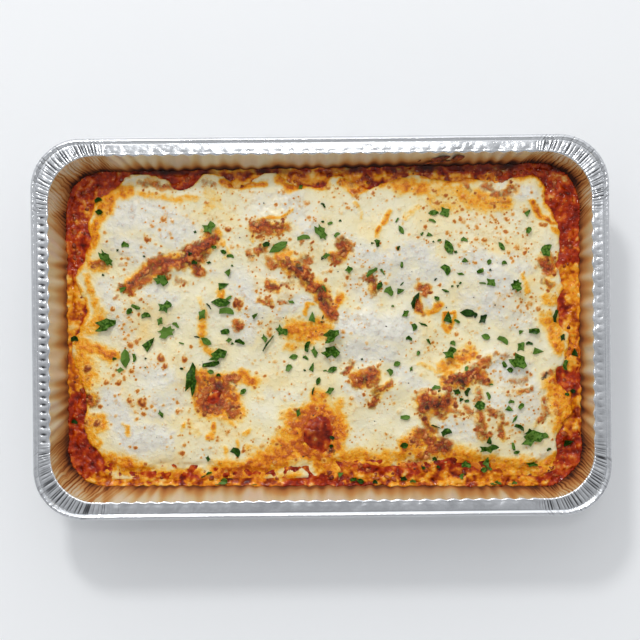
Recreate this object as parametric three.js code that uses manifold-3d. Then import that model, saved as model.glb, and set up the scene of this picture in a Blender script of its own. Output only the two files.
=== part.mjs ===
// Family lasagne baked in an oblong foil tray.
//
// Millimetres, +Z up. The origin is the middle of the tray's base, on the table.
// +X runs along the tray's length and +Y across it.
//
// The tray is one pressed shell: flat base, fluted walls that pleat round the corners,
// a flat flange and a rolled bead. The filling of pasta and meat sauce is one solid that
// shows as a sauce margin along the walls and as islands in the cheese. The melted cheese
// is a blanket with lumps and browned crests, and chopped parsley lies on top.

import * as THREE from 'three';
import { mergeVertices } from 'three/addons/utils/BufferGeometryUtils.js';
import Module from 'manifold-3d';

const wasm = await Module();
wasm.setup();

// ---- Driving dimensions ----

// Tray, over the bead.
const TRAY_LENGTH = 325;
const TRAY_WIDTH = 214;
const TRAY_HEIGHT = 50;
const TRAY_CORNER = 28;
const FOIL = 0.7;

// Rim: a bead rolled outwards and a flange that lies a little below the bead's top.
const BEAD_ACROSS = 3.2;
const BEAD_TURNS = [-135, -90, -45, 0, 45, 90, 125];
const FLANGE_WIDTH = 6.4;
const FLANGE_DROP = 1;

// Walls lean outwards. Flutes run up them, and finer pleats gather the corners.
const WALL_LEAN = THREE.MathUtils.degToRad(18.5);
const MOUTH_CORNER = 26;
const FOOT_CORNER = 17;
const FLUTE_PITCH = 7.7;
const FLUTE_DEPTH = 0.9;
const PLEATS_PER_CORNER = 18;
const PLEAT_DEPTH = 0.7;
const PLEAT_LEAN = 0.09;
const FLUTES_START = 6;
const FLUTES_START_FOLD = 0.2;

// Foot: the rounded edge between the base and the walls, as height and inset of its points.
const FOOT_EDGE = [
  { up: 0, inset: 5 },
  { up: 1.3, inset: 1.6 },
];

// Food. Its level rises gently towards +X. The sauce, the bed under the cheese and the
// cheese's own top are given from that level.
const FOOD_LEVEL = 30;
const FOOD_TILT = 3 / 136;
const SAUCE_DROP = 1;
const SAUCE_GRAIN = 1.4;
const BED_DROP = 2.7;
const BED_SWELL = 0.9;
const CHEESE_RISE = 0.7;
const CHEESE_EDGE_DROP = 0.9;
const CHEESE_TAPER = 11;

// Gaps between the pieces, and how far the filling keeps clear of the tray's foot.
const GAP = 0.3;
const SIDE_GAP = 0.35;
const FOOT_CLEARANCE = [
  { up: 0, inset: 2 },
  { up: 0.4, inset: 1.4 },
];

// Grid steps of the food's surfaces, and points round the cheese's outline.
const FINE_STEP = 6.8;
const BED_STEP = 17;
const COVER_POINTS = { long: 36, short: 20, corner: 6 };

// The cheese covers a rounded rectangle, with tongues that reach the walls (+)
// and bays where the sauce shows (-).
const COVER = { halfX: 138, halfY: 83, radius: 20 };
const COVER_LOBES = [
  // far side
  { x: -128, y: 80, reach: -6, width: 13 },
  { x: -104, y: 83, reach: 5, width: 10 },
  { x: -79, y: 83, reach: -4, width: 9 },
  { x: -50, y: 83, reach: 4, width: 15 },
  { x: -8, y: 83, reach: -3, width: 14 },
  { x: 28, y: 83, reach: -4, width: 16 },
  { x: 55, y: 83, reach: 3, width: 9 },
  { x: 100, y: 83, reach: -2, width: 11 },
  { x: 119, y: 83, reach: 3, width: 8 },
  // right-hand side
  { x: 137, y: 70, reach: -9, width: 12 },
  { x: 138, y: 38, reach: -5, width: 9 },
  { x: 138, y: 6, reach: -4, width: 9 },
  { x: 138, y: -9, reach: 4, width: 7 },
  { x: 138, y: -30, reach: -7, width: 6 },
  { x: 138, y: -47, reach: 5, width: 9 },
  { x: 138, y: -66, reach: -6, width: 9 },
  // near side
  { x: 112, y: -83, reach: 3, width: 14 },
  { x: 76, y: -83, reach: -5, width: 14 },
  { x: 30, y: -83, reach: -4, width: 18 },
  { x: -42, y: -83, reach: 4, width: 26 },
  { x: -110, y: -81, reach: 4, width: 12 },
  // left-hand side
  { x: -134, y: -74, reach: -9, width: 13 },
  { x: -138, y: -41, reach: -5, width: 8 },
  { x: -138, y: -13, reach: 5, width: 13 },
  { x: -138, y: 13, reach: -5, width: 9 },
  { x: -138, y: 29, reach: 4, width: 6 },
  { x: -138, y: 56, reach: -7, width: 18 },
];

// Lumps of pasta and filling that lift the cheese over them.
const LUMPS = [
  { x: -98, y: 55, acrossX: 62, acrossY: 42, rise: 4.2 },
  { x: -98, y: 14, acrossX: 52, acrossY: 26, rise: 3 },
  { x: -97, y: -34, acrossX: 46, acrossY: 56, rise: 3.6 },
  { x: -100, y: -66, acrossX: 52, acrossY: 24, rise: 2 },
  { x: -19, y: 52, acrossX: 50, acrossY: 44, rise: 4.6 },
  { x: -28, y: 14, acrossX: 44, acrossY: 28, rise: 3.4 },
  { x: -28, y: -58, acrossX: 44, acrossY: 34, rise: 1.6 },
  { x: 38, y: 42, acrossX: 52, acrossY: 38, rise: 3.4 },
  { x: 30, y: -4, acrossX: 48, acrossY: 26, rise: 4.4 },
  { x: 30, y: -34, acrossX: 44, acrossY: 28, rise: 3 },
  { x: 44, y: -62, acrossX: 34, acrossY: 26, rise: 1.4 },
  { x: 101, y: 24, acrossX: 44, acrossY: 46, rise: 3.6 },
  { x: 116, y: 74, acrossX: 32, acrossY: 24, rise: 2 },
  { x: 92, y: -45, acrossX: 70, acrossY: 58, rise: 5.2 },
];

// Browned crests, where an edge of pasta or a crumb of meat pushes up through the cheese.
const CRESTS = [
  { from: [-110, 24], to: [-84, 34], width: 7, rise: 1.6 },
  { from: [-84, 34], to: [-63, 48], width: 8, rise: 1.9 },
  { from: [-22, 38], to: [-9, 30], width: 7, rise: 1.7 },
  { from: [-9, 30], to: [2, 8], width: 7, rise: 1.8 },
  { from: [-38, 58], to: [-22, 62], width: 12, rise: 1.2 },
  { from: [23, -27], to: [41, -36], width: 8, rise: 1.4 },
  { from: [59, -46], to: [78, -29], width: 11, rise: 2 },
  { from: [78, -29], to: [102, -16], width: 9, rise: 1.5 },
  { from: [58, 17], to: [66, 10], width: 8, rise: 1.2 },
];

// Hollows where the oil gathers between the lumps.
const HOLLOWS = [
  { from: [-60, 70], to: [-58, 12], width: 15, rise: -1 },
  { from: [-58, 12], to: [-60, -20], width: 14, rise: -0.9 },
  { from: [-4, -2], to: [-14, -16], width: 15, rise: -1 },
  { from: [70, -12], to: [80, 20], width: 15, rise: -0.9 },
  { from: [60, 72], to: [104, 64], width: 15, rise: -0.8 },
];

// Sauce that stands up through holes in the cheese: a browned patch and a glossy dome.
const ISLANDS = [
  { x: -62, y: -38, radius: 10, rise: 1.4 },
  { x: -3, y: -61, radius: 10.5, rise: 3.6 },
];
const ISLAND_SIDES = 16;
const ISLAND_WOBBLE = 0.09;

// The largest parsley leaves, each a loose piece on the cheese.
const LEAF_TEETH = 5;
const LEAF_THICKNESS = 0.5;
const LEAF_CLEARANCE = 0.5;
const LEAF_CURL = 0.9;
const LEAVES = [
  { x: -64, y: 57, length: 8, width: 7, turn: 10 },
  { x: -123, y: 39, length: 11, width: 6, turn: -55 },
  { x: -123, y: 1, length: 11, width: 8, turn: 70 },
  { x: -91, y: 27, length: 8, width: 6, turn: 20 },
  { x: -89, y: 11, length: 8, width: 7, turn: 60 },
  { x: -88, y: -3, length: 12, width: 7, turn: 25 },
  { x: -75, y: -32, length: 19, width: 7, turn: 80 },
  { x: -59, y: -17, length: 14, width: 7, turn: 35 },
  { x: -21, y: -3, length: 9, width: 6, turn: -50 },
  { x: 0, y: 54, length: 11, width: 7, turn: -50 },
  { x: 6, y: -4, length: 11, width: 9, turn: 40 },
  { x: 6, y: -15, length: 11, width: 8, turn: 5 },
  { x: 73, y: -15, length: 9, width: 7, turn: 20 },
  { x: 111, y: 24, length: 8, width: 7, turn: 85 },
  { x: 112, y: -20, length: 11, width: 9, turn: -30 },
  { x: 120, y: -64, length: 13, width: 9, turn: 35 },
  { x: 96, y: -70, length: 12, width: 7, turn: 15 },
];

// Smaller flakes, fused to what they lie on. Most are small, and they gather towards
// the middle and the right.
const FLAKE_COUNT = 62;
const FLAKE_TEETH = 3;
const FLAKE_SIZE = { least: 2.6, most: 5.4, skew: 1.6 };
const FLAKE_SINK = 0.4;
const FLAKE_PROUD = 0.35;
const FLAKE_CENTRE = { x: 25, y: 2, spreadX: 135, spreadY: 84 };
const FLAKE_MARGIN = 5;
const FLAKE_SPACING = 1;
const SAUCE_FLAKES = [
  { x: 26, y: 86, length: 4.4, width: 3.1, turn: 80 },
  { x: 22, y: -86, length: 4.2, width: 2.9, turn: 20 },
  { x: 76, y: -85, length: 4.4, width: 3.1, turn: -30 },
];

// ---- Materials ----

const foil = new THREE.MeshStandardMaterial({ color: 0xc9cbcd, roughness: 0.28, metalness: 1 });
const sauce = new THREE.MeshStandardMaterial({ color: 0x9c3413, roughness: 0.35, metalness: 0 });
const cheese = new THREE.MeshStandardMaterial({ color: 0xeae2c0, roughness: 0.45, metalness: 0 });

function parsley() {
  return new THREE.MeshStandardMaterial({ color: 0x3f7a24, roughness: 0.6, metalness: 0 });
}

// ---- Small helpers ----

// Repeatable random numbers from 0 to 1, by a linear congruential generator.
function seededRandom(seed) {
  const modulus = 2 ** 32;
  let state = seed;
  return () => {
    state = (state * 1664525 + 1013904223) % modulus;
    return state / modulus;
  };
}

function clamp01(value) {
  return Math.min(1, Math.max(0, value));
}

// Only the places and the triangles of a geometry, with the shared corners merged.
function bareGeometry(geometry) {
  geometry.deleteAttribute('normal');
  geometry.deleteAttribute('uv');
  return mergeVertices(geometry, 1e-4);
}

function toSolid(geometry) {
  const mesh = new wasm.Mesh({
    numProp: 3,
    vertProperties: new Float32Array(geometry.attributes.position.array),
    triVerts: new Uint32Array(geometry.index.array),
  });
  return new wasm.Manifold(mesh);
}

function fromSolid(solid) {
  const mesh = solid.getMesh();
  const geometry = new THREE.BufferGeometry();
  geometry.setAttribute('position', new THREE.BufferAttribute(mesh.vertProperties, 3));
  geometry.setIndex(new THREE.BufferAttribute(mesh.triVerts, 1));
  return geometry;
}

function namedMesh(name, geometry, material) {
  geometry.computeVertexNormals();
  const mesh = new THREE.Mesh(geometry, material);
  mesh.name = name;
  return mesh;
}

// ---- Rings: rounded rectangles that the tray and the filling are lofted through ----

// A ring's points carry `along`, which runs from 0 to 8, one for each side and corner.
const RING_END = 8;

// How many points a ring has on a long side, on a short side and round a corner.
const PLAIN_RING = { long: 4, short: 3, corner: 8 };
const FLUTED_RING = {
  long: 2 * Math.round((TRAY_LENGTH - 2 * TRAY_CORNER) / FLUTE_PITCH),
  short: 2 * Math.round((TRAY_WIDTH - 2 * TRAY_CORNER) / FLUTE_PITCH),
  corner: 2 * PLEATS_PER_CORNER,
};

// A rounded rectangle, anticlockwise from the right-hand side. `fold` from 0 to 1 brings
// in the flutes and the pleats, and `lean` slants the pleats.
function makeRing({ halfX, halfY, radius, z, points, fold = 0, lean = 0 }) {
  const ring = [];
  for (let side = 0; side < 4; side += 1) {
    const upright = side % 2 === 0;
    const reach = upright ? halfX : halfY;
    const run = (upright ? halfY : halfX) - radius;
    const turn = side * Math.PI / 2;
    const steps = upright ? points.short : points.long;
    const place = (out, across, along) => {
      const x = out * Math.cos(turn) - across * Math.sin(turn);
      const y = out * Math.sin(turn) + across * Math.cos(turn);
      ring.push({ x, y, z, along });
    };
    for (let i = 0; i < steps; i += 1) {
      const crease = (i % 2 === 0 ? 0.5 : -0.5) * FLUTE_DEPTH * fold;
      place(reach + crease, run * (2 * i / steps - 1), 2 * side + i / steps);
    }
    for (let i = 0; i < points.corner; i += 1) {
      const part = i / points.corner;
      const crease = (i % 2 === 0 ? 0.5 : -0.5) * PLEAT_DEPTH * fold;
      const angle = (part + lean * Math.sin(Math.PI * part)) * Math.PI / 2;
      const out = reach - radius + (radius + crease) * Math.cos(angle);
      const across = run + (radius + crease) * Math.sin(angle);
      place(out, across, 2 * side + 1 + part);
    }
  }
  return ring;
}

// Triangles of the strip between two rings, whose points start at the two given numbers.
// It steps along whichever ring lags behind, so that the counts may differ.
function stripBetween(before, after, beforeStart, afterStart) {
  const triangles = [];
  const beforeAt = (i) => beforeStart + i % before.length;
  const afterAt = (j) => afterStart + j % after.length;
  const nextAlong = (ring, i) => {
    if (i >= ring.length) {
      return Infinity;
    }
    return i + 1 < ring.length ? ring[i + 1].along : RING_END;
  };
  let i = 0;
  let j = 0;
  while (i < before.length || j < after.length) {
    if (nextAlong(before, i) <= nextAlong(after, j)) {
      triangles.push(beforeAt(i), beforeAt(i + 1), afterAt(j));
      i += 1;
    } else {
      triangles.push(beforeAt(i), afterAt(j + 1), afterAt(j));
      j += 1;
    }
  }
  return triangles;
}

// A closed skin through a list of rings, with a fan of triangles over each end.
function loftRings(rings) {
  const positions = [];
  const starts = [];
  for (const ring of rings) {
    starts.push(positions.length / 3);
    for (const point of ring) {
      positions.push(point.x, point.y, point.z);
    }
  }
  const triangles = [];
  for (let k = 1; k < rings.length; k += 1) {
    triangles.push(...stripBetween(rings[k - 1], rings[k], starts[k - 1], starts[k]));
  }
  const last = rings.length - 1;
  const ends = [{ ring: rings[0], start: 0 }, { ring: rings[last], start: starts[last] }];
  ends.forEach(({ ring, start }, end) => {
    const middle = positions.length / 3;
    positions.push(0, 0, ring[0].z);
    ring.forEach((point, i) => {
      const here = start + i;
      const next = start + (i + 1) % ring.length;
      triangles.push(...(end === 0 ? [next, here, middle] : [here, next, middle]));
    });
  });
  const geometry = new THREE.BufferGeometry();
  geometry.setAttribute('position', new THREE.Float32BufferAttribute(positions, 3));
  geometry.setIndex(triangles);
  return geometry;
}

// ---- Foil tray ----

const RIM_WIDTH = BEAD_ACROSS + FLANGE_WIDTH;
const FLANGE_TOP = TRAY_HEIGHT - FLANGE_DROP;
const MOUTH = { halfX: TRAY_LENGTH / 2 - RIM_WIDTH, halfY: TRAY_WIDTH / 2 - RIM_WIDTH };
const WALL_OFFSET = FOIL / Math.cos(WALL_LEAN);

// A ring on the tray's inner wall line at height z, set in by `inset`.
function wallRing({ z, inset = 0, points, fold = 0, lean = 0 }) {
  const depth = FLANGE_TOP - z;
  const shrink = depth * Math.tan(WALL_LEAN) + inset;
  const share = clamp01(depth / FLANGE_TOP);
  return makeRing({
    halfX: MOUTH.halfX - shrink,
    halfY: MOUTH.halfY - shrink,
    radius: THREE.MathUtils.lerp(MOUTH_CORNER, FOOT_CORNER, share) - inset,
    z,
    points,
    fold,
    lean,
  });
}

// A ring round the bead, at an angle on its section that is 0 outwards and 90 on top.
function beadRing(degrees) {
  const angle = THREE.MathUtils.degToRad(degrees);
  const radius = BEAD_ACROSS / 2;
  const inset = radius - radius * Math.cos(angle);
  return makeRing({
    halfX: TRAY_LENGTH / 2 - inset,
    halfY: TRAY_WIDTH / 2 - inset,
    radius: TRAY_CORNER - inset,
    z: TRAY_HEIGHT - radius + radius * Math.sin(angle),
    points: PLAIN_RING,
  });
}

// Where on the bead's section, on its inner side, the height z lies.
function beadAngle(z) {
  const radius = BEAD_ACROSS / 2;
  const above = (z - TRAY_HEIGHT + radius) / radius;
  return 180 - THREE.MathUtils.radToDeg(Math.asin(above));
}

function foilTray() {
  const [footFlat, footRound] = FOOT_EDGE;
  const mouth = { points: FLUTED_RING, fold: 1, lean: PLEAT_LEAN };
  const fluteStart = { z: FLUTES_START, points: FLUTED_RING, fold: FLUTES_START_FOLD };
  const outside = -WALL_OFFSET;
  const rings = [
    wallRing({ z: 0, inset: footFlat.inset, points: PLAIN_RING }),
    wallRing({ z: footRound.up, inset: footRound.inset + outside, points: PLAIN_RING }),
    wallRing({ ...fluteStart, inset: outside }),
    wallRing({ ...mouth, z: FLANGE_TOP - FOIL, inset: outside }),
    beadRing(beadAngle(FLANGE_TOP - FOIL) - 360),
    ...BEAD_TURNS.map(beadRing),
    beadRing(beadAngle(FLANGE_TOP)),
    wallRing({ ...mouth, z: FLANGE_TOP }),
    wallRing(fluteStart),
    wallRing({ z: footRound.up + FOIL, inset: footRound.inset, points: PLAIN_RING }),
    wallRing({ z: FOIL, inset: footFlat.inset, points: PLAIN_RING }),
  ];
  return namedMesh('foil_tray', loftRings(rings), foil);
}

// ---- Food surfaces ----

function foodLevel(x) {
  return FOOD_LEVEL + FOOD_TILT * x;
}

// A smooth bell: 1 in the middle, and almost nothing at twice its half-width.
function bell(share) {
  return Math.exp(-share * share);
}

// Sum of the lumps.
function swell(x, y) {
  let height = 0;
  for (const lump of LUMPS) {
    const away = Math.hypot(2 * (x - lump.x) / lump.acrossX, 2 * (y - lump.y) / lump.acrossY);
    height += lump.rise * bell(away);
  }
  return height;
}

function distanceToLine(x, y, [x1, y1], [x2, y2]) {
  const runX = x2 - x1;
  const runY = y2 - y1;
  const share = clamp01(((x - x1) * runX + (y - y1) * runY) / (runX * runX + runY * runY));
  return Math.hypot(x - x1 - share * runX, y - y1 - share * runY);
}

// Sum of long features, each a rounded crest or hollow along a line.
function ridgeHeight(ridges, x, y) {
  let height = 0;
  for (const ridge of ridges) {
    height += ridge.rise * bell(2 * distanceToLine(x, y, ridge.from, ridge.to) / ridge.width);
  }
  return height;
}

// Uneven bubbles and crumbs, a few tenths of a millimetre high.
function unevenness(x, y) {
  const bubbles = Math.sin(x / 5.3 + 1.7 * Math.sin(y / 9)) * Math.cos(y / 4.7 + x / 23);
  const crumbs = Math.sin(x / 3.1 - y / 6.1);
  return 0.35 * bubbles + 0.2 * crumbs;
}

// The outline of the cheese as a list of points, `grow` larger than the true one.
function coverOutline(grow) {
  const base = makeRing({
    halfX: COVER.halfX,
    halfY: COVER.halfY,
    radius: COVER.radius,
    z: 0,
    points: COVER_POINTS,
  });
  return base.map((point, i) => {
    const before = base.at(i - 1);
    const after = base[(i + 1) % base.length];
    const out = new THREE.Vector2(after.y - before.y, before.x - after.x).normalize();
    let offset = grow;
    for (const lobe of COVER_LOBES) {
      const away = Math.hypot(point.x - lobe.x, point.y - lobe.y);
      offset += lobe.reach * bell(away / lobe.width);
    }
    return new THREE.Vector2(point.x, point.y).addScaledVector(out, offset);
  });
}

const cheeseOutline = coverOutline(0);

function distanceToCheeseEdge(x, y) {
  let least = Infinity;
  cheeseOutline.forEach((corner, i) => {
    const next = cheeseOutline[(i + 1) % cheeseOutline.length];
    least = Math.min(least, distanceToLine(x, y, [corner.x, corner.y], [next.x, next.y]));
  });
  return least;
}

// The top of the cheese thins towards its edge.
function cheeseTop(x, y) {
  const inwards = clamp01(distanceToCheeseEdge(x, y) / CHEESE_TAPER);
  const taper = CHEESE_EDGE_DROP * (1 - inwards) ** 2;
  const relief = ridgeHeight([...CRESTS, ...HOLLOWS], x, y) + unevenness(x, y);
  return foodLevel(x) + CHEESE_RISE - taper + swell(x, y) + relief;
}

// The bed that the cheese lies on is smoother than its top.
function bedTop(x, y) {
  return foodLevel(x) - BED_DROP + BED_SWELL * swell(x, y);
}

function sauceTop(x, y) {
  let height = foodLevel(x) - SAUCE_DROP + swell(x, y) + SAUCE_GRAIN * unevenness(y, x);
  for (const island of ISLANDS) {
    height += island.rise * bell(Math.hypot(x - island.x, y - island.y) / island.radius);
  }
  return height;
}

// ---- Food solids ----

// Blocks and prisms are larger than the food, which is cut out of them.
const BLOCK = { lengthX: 312, lengthY: 204, floor: -10, bedFloor: -15 };
const PRISM = { bottom: -20, top: 70 };

// A block whose top follows a surface, on a grid of about `step`.
function reliefBlock(topAt, step, floor) {
  const cellsX = Math.round(BLOCK.lengthX / step);
  const cellsY = Math.round(BLOCK.lengthY / step);
  const box = new THREE.BoxGeometry(BLOCK.lengthX, BLOCK.lengthY, 2, cellsX, cellsY, 1);
  const geometry = bareGeometry(box);
  const places = geometry.attributes.position;
  for (let i = 0; i < places.count; i += 1) {
    const isTop = places.getZ(i) > 0;
    places.setZ(i, isTop ? topAt(places.getX(i), places.getY(i)) : floor);
  }
  return toSolid(geometry);
}

// An upright wall of the given outline that passes right through the food.
function throughPrism(outline) {
  const shape = new THREE.Shape(outline);
  const depth = PRISM.top - PRISM.bottom;
  const geometry = new THREE.ExtrudeGeometry(shape, { depth, bevelEnabled: false });
  geometry.translate(0, 0, PRISM.bottom);
  return toSolid(bareGeometry(geometry));
}

function islandPrism(island, grow) {
  const outline = [];
  for (let i = 0; i < ISLAND_SIDES; i += 1) {
    const angle = 2 * Math.PI * i / ISLAND_SIDES;
    const wobble = ISLAND_WOBBLE * Math.sin(3 * angle + island.x);
    const radius = island.radius * (1 + wobble) + grow;
    outline.push(new THREE.Vector2(
      island.x + radius * Math.cos(angle),
      island.y + radius * Math.sin(angle),
    ));
  }
  return throughPrism(outline);
}

// The room inside the tray, held clear of its walls and base.
function trayRoom() {
  const foot = FOOT_EDGE.map((edge, i) => wallRing({
    z: FOIL + GAP + edge.up + FOOT_CLEARANCE[i].up,
    inset: edge.inset + FOOT_CLEARANCE[i].inset,
    points: PLAIN_RING,
  }));
  const sideInset = FLUTE_DEPTH / 2 + SIDE_GAP;
  const walls = [FLUTES_START, FLANGE_TOP].map((z) => (
    wallRing({ z, inset: sideInset, points: PLAIN_RING })
  ));
  return toSolid(loftRings([...foot, ...walls]));
}

const cheeseBed = reliefBlock(bedTop, BED_STEP, BLOCK.bedFloor);

// The filling is everything below the sauce's top, less a pocket for the cheese.
function fillingSolid() {
  let pocket = throughPrism(coverOutline(GAP));
  for (const island of ISLANDS) {
    pocket = pocket.subtract(islandPrism(island, -GAP));
  }
  pocket = pocket.subtract(cheeseBed);
  const block = reliefBlock(sauceTop, FINE_STEP, BLOCK.floor);
  return block.intersect(trayRoom()).subtract(pocket);
}

// The cheese fills the pocket, a small gap clear of it, and stands a little proud.
function cheeseSolid() {
  const block = reliefBlock(cheeseTop, FINE_STEP, BLOCK.floor);
  let blanket = block.intersect(throughPrism(cheeseOutline));
  for (const island of ISLANDS) {
    blanket = blanket.subtract(islandPrism(island, 0));
  }
  return blanket.subtract(cheeseBed.translate([0, 0, GAP]));
}

// ---- Parsley ----

const downwards = new THREE.Raycaster();

// Height of the highest of some meshes at one place.
function heightOn(meshes, x, y) {
  downwards.set(new THREE.Vector3(x, y, 2 * TRAY_HEIGHT), new THREE.Vector3(0, 0, -1));
  const [hit] = downwards.intersectObjects(meshes);
  return hit.point.z;
}

// A ragged bit of leaf: `teeth` points round an oval, with uneven notches between them.
function leafShape({ length, width, turn }, teeth) {
  const middle = new THREE.Vector2();
  const points = [];
  for (let i = 0; i < 2 * teeth; i += 1) {
    const isTooth = i % 2 === 0;
    const reach = isTooth ? 0.5 : 0.34 + 0.06 * Math.sin(2.3 * i + length);
    const angle = Math.PI * i / teeth;
    const point = new THREE.Vector2(
      reach * length * Math.cos(angle),
      reach * width * Math.sin(angle),
    );
    points.push(point.rotateAround(middle, THREE.MathUtils.degToRad(turn)));
  }
  return new THREE.Shape(points);
}

// A thin leaf draped over the meshes below it, with its lower face `lift` above them and
// its rim curling up unevenly by about `curl`. Both faces have the same triangles.
function drapedLeaf(leaf, meshes, { teeth, lift, thickness, curl }) {
  const shape = leafShape(leaf, teeth);
  const geometry = bareGeometry(new THREE.ExtrudeGeometry(shape, { depth: 1, bevelEnabled: false }));
  const places = geometry.attributes.position;
  for (let i = 0; i < places.count; i += 1) {
    const dx = places.getX(i);
    const dy = places.getY(i);
    const outwards = 2 * Math.hypot(dx, dy) / leaf.length;
    const wave = 0.6 + 0.4 * Math.sin(2 * Math.atan2(dy, dx) + leaf.turn);
    const under = heightOn(meshes, leaf.x + dx, leaf.y + dy) + lift + curl * wave * outwards ** 2;
    places.setXYZ(i, leaf.x + dx, leaf.y + dy, under + thickness * places.getZ(i));
  }
  return geometry;
}

// Whether a flake lies wholly on the cheese, clear of other leaves and flakes.
function hasRoom({ x, y, length }, others) {
  const overCover = Math.abs(x) < COVER.halfX - FLAKE_MARGIN
    && Math.abs(y) < COVER.halfY - FLAKE_MARGIN;
  const clearOfEdge = distanceToCheeseEdge(x, y) > FLAKE_MARGIN;
  const clearOfIslands = ISLANDS.every((island) => (
    Math.hypot(x - island.x, y - island.y) > island.radius + FLAKE_MARGIN
  ));
  const clearOfOthers = others.every((other) => (
    Math.hypot(x - other.x, y - other.y) > (length + other.length) / 2 + FLAKE_SPACING
  ));
  return overCover && clearOfEdge && clearOfIslands && clearOfOthers;
}

function scatteredFlakes() {
  const random = seededRandom(20);
  const aroundMiddle = () => random() + random() - 1;
  const flakes = [];
  while (flakes.length < FLAKE_COUNT) {
    const share = random() ** FLAKE_SIZE.skew;
    const length = THREE.MathUtils.lerp(FLAKE_SIZE.least, FLAKE_SIZE.most, share);
    const flake = {
      x: FLAKE_CENTRE.x + FLAKE_CENTRE.spreadX * aroundMiddle(),
      y: FLAKE_CENTRE.y + FLAKE_CENTRE.spreadY * aroundMiddle(),
      length,
      width: length * THREE.MathUtils.lerp(0.5, 0.85, random()),
      turn: 360 * random(),
    };
    if (hasRoom(flake, [...LEAVES, ...flakes])) {
      flakes.push(flake);
    }
  }
  return flakes;
}

// Fuses flakes to a solid, each sunk a little into its surface.
function fuseFlakes(solid, flakes) {
  const ground = [new THREE.Mesh(fromSolid(solid))];
  const lie = {
    teeth: FLAKE_TEETH,
    lift: -FLAKE_SINK,
    thickness: FLAKE_SINK + FLAKE_PROUD,
    curl: 0,
  };
  return flakes.reduce(
    (fused, flake) => fused.add(toSolid(drapedLeaf(flake, ground, lie))),
    solid,
  );
}

// ---- The meal ----

const filling = fuseFlakes(fillingSolid(), SAUCE_FLAKES);
const blanket = fuseFlakes(cheeseSolid(), scatteredFlakes());
const food = [
  namedMesh('lasagne_filling', fromSolid(filling), sauce),
  namedMesh('melted_cheese', fromSolid(blanket), cheese),
];

const meal = new THREE.Group();
meal.add(foilTray(), ...food);
LEAVES.forEach((leaf, i) => {
  const number = String(i + 1).padStart(2, '0');
  const geometry = drapedLeaf(leaf, food, {
    teeth: LEAF_TEETH,
    lift: LEAF_CLEARANCE,
    thickness: LEAF_THICKNESS,
    curl: LEAF_CURL,
  });
  meal.add(namedMesh(`parsley_leaf_${number}`, geometry, parsley()));
});

export default meal;
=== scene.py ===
import math

import bpy
import numpy as np
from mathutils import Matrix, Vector


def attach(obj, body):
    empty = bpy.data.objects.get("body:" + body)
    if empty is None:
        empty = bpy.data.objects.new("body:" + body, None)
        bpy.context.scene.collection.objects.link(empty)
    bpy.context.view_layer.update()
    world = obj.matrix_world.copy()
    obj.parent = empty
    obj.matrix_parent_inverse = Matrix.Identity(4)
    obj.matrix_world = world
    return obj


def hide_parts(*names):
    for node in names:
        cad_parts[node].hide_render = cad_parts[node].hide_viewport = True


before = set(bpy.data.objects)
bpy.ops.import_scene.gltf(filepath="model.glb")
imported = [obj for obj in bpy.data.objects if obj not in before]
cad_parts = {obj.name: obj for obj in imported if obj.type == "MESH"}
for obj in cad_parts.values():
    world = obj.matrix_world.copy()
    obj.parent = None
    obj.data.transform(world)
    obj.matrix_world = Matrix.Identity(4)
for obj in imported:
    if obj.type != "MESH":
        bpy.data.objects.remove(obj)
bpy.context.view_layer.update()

# ---- Camera ----
# Looks straight down on the meal from a metre above the tray's rim, with the tray a little
# below the middle of the view and turned by about half a degree.

RIM_HEIGHT = 0.050
CAMERA_ABOVE_RIM = 1.0
VIEW_WIDTH_AT_RIM = 0.3588
VIEW_CENTRE = (-0.0006, 0.0040)
VIEW_TURN = math.radians(-0.58)
SENSOR_WIDTH = 36

camera_data = bpy.data.cameras.new("camera")
camera_data.sensor_width = SENSOR_WIDTH
camera_data.lens = SENSOR_WIDTH * CAMERA_ABOVE_RIM / VIEW_WIDTH_AT_RIM
camera = bpy.data.objects.new("camera", camera_data)
camera.location = (*VIEW_CENTRE, RIM_HEIGHT + CAMERA_ABOVE_RIM)
camera.rotation_euler = (0, 0, VIEW_TURN)
bpy.context.scene.collection.objects.link(camera)
bpy.context.scene.camera = camera

# ---- Foil tray ----
# One blank of aluminium foil, pressed in a die. Its flat flange ends in a rolled bead, its
# leaning walls are fluted, and the spare foil at the corners gathers in sharp pleats.
# All sizes below are in millimetres.

MM = 0.001
TRAY_LENGTH = 325
TRAY_WIDTH = 214
TRAY_HEIGHT = 50
TRAY_CORNER = 28
BEAD_ACROSS = 3.2
RIM_WIDTH = 9.6
FLANGE_TOP = 49
MOUTH_HALF_X = TRAY_LENGTH / 2 - RIM_WIDTH
MOUTH_HALF_Y = TRAY_WIDTH / 2 - RIM_WIDTH
MOUTH_CORNER = 26
FOOT_CORNER = 17
WALL_LEAN = math.tan(math.radians(18.5))
FOIL_THICKNESS = 0.3
FOOD_LEVEL = 30
FOOD_TILT = 3 / 136
FILM_TOP = 48.5
FAR_WALL = 80  # only the far wall lies beyond this Y
FLUTE_PITCH = 7.7
FLUTE_DEPTH = 0.9
SCALLOP_DEPTH = 0.16
SCALLOP_PLACE = 1.2
CRIMP_PITCH = 4.2
CRIMP_DEPTH_LONG = 0.04
CRIMP_DEPTH_LEFT = 0.34
CRIMP_DEPTH_RIGHT = 0.12
CRIMP_PLACE = 3.4
CRIMP_HALF_LENGTH = 1.7
EMBOSSED_WIDTH = 7
PLEATED = 28  # how far the pleats reach from a corner's middle
PLEAT_PITCH = 1.7
PLEAT_SPACING = (0.4, 1.5)
PLEAT_DEPTH = (0.3, 1)
PLEAT_HALF_WIDTH = (0.22, 0.42)
PLEAT_FAN = 0.15
FLANGE_FAN = 0.96
FAN_REACH = 40
PLEAT_STEP = 0.26
LONG_STEP = 1.1
SHORT_STEP = 0.7
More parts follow.
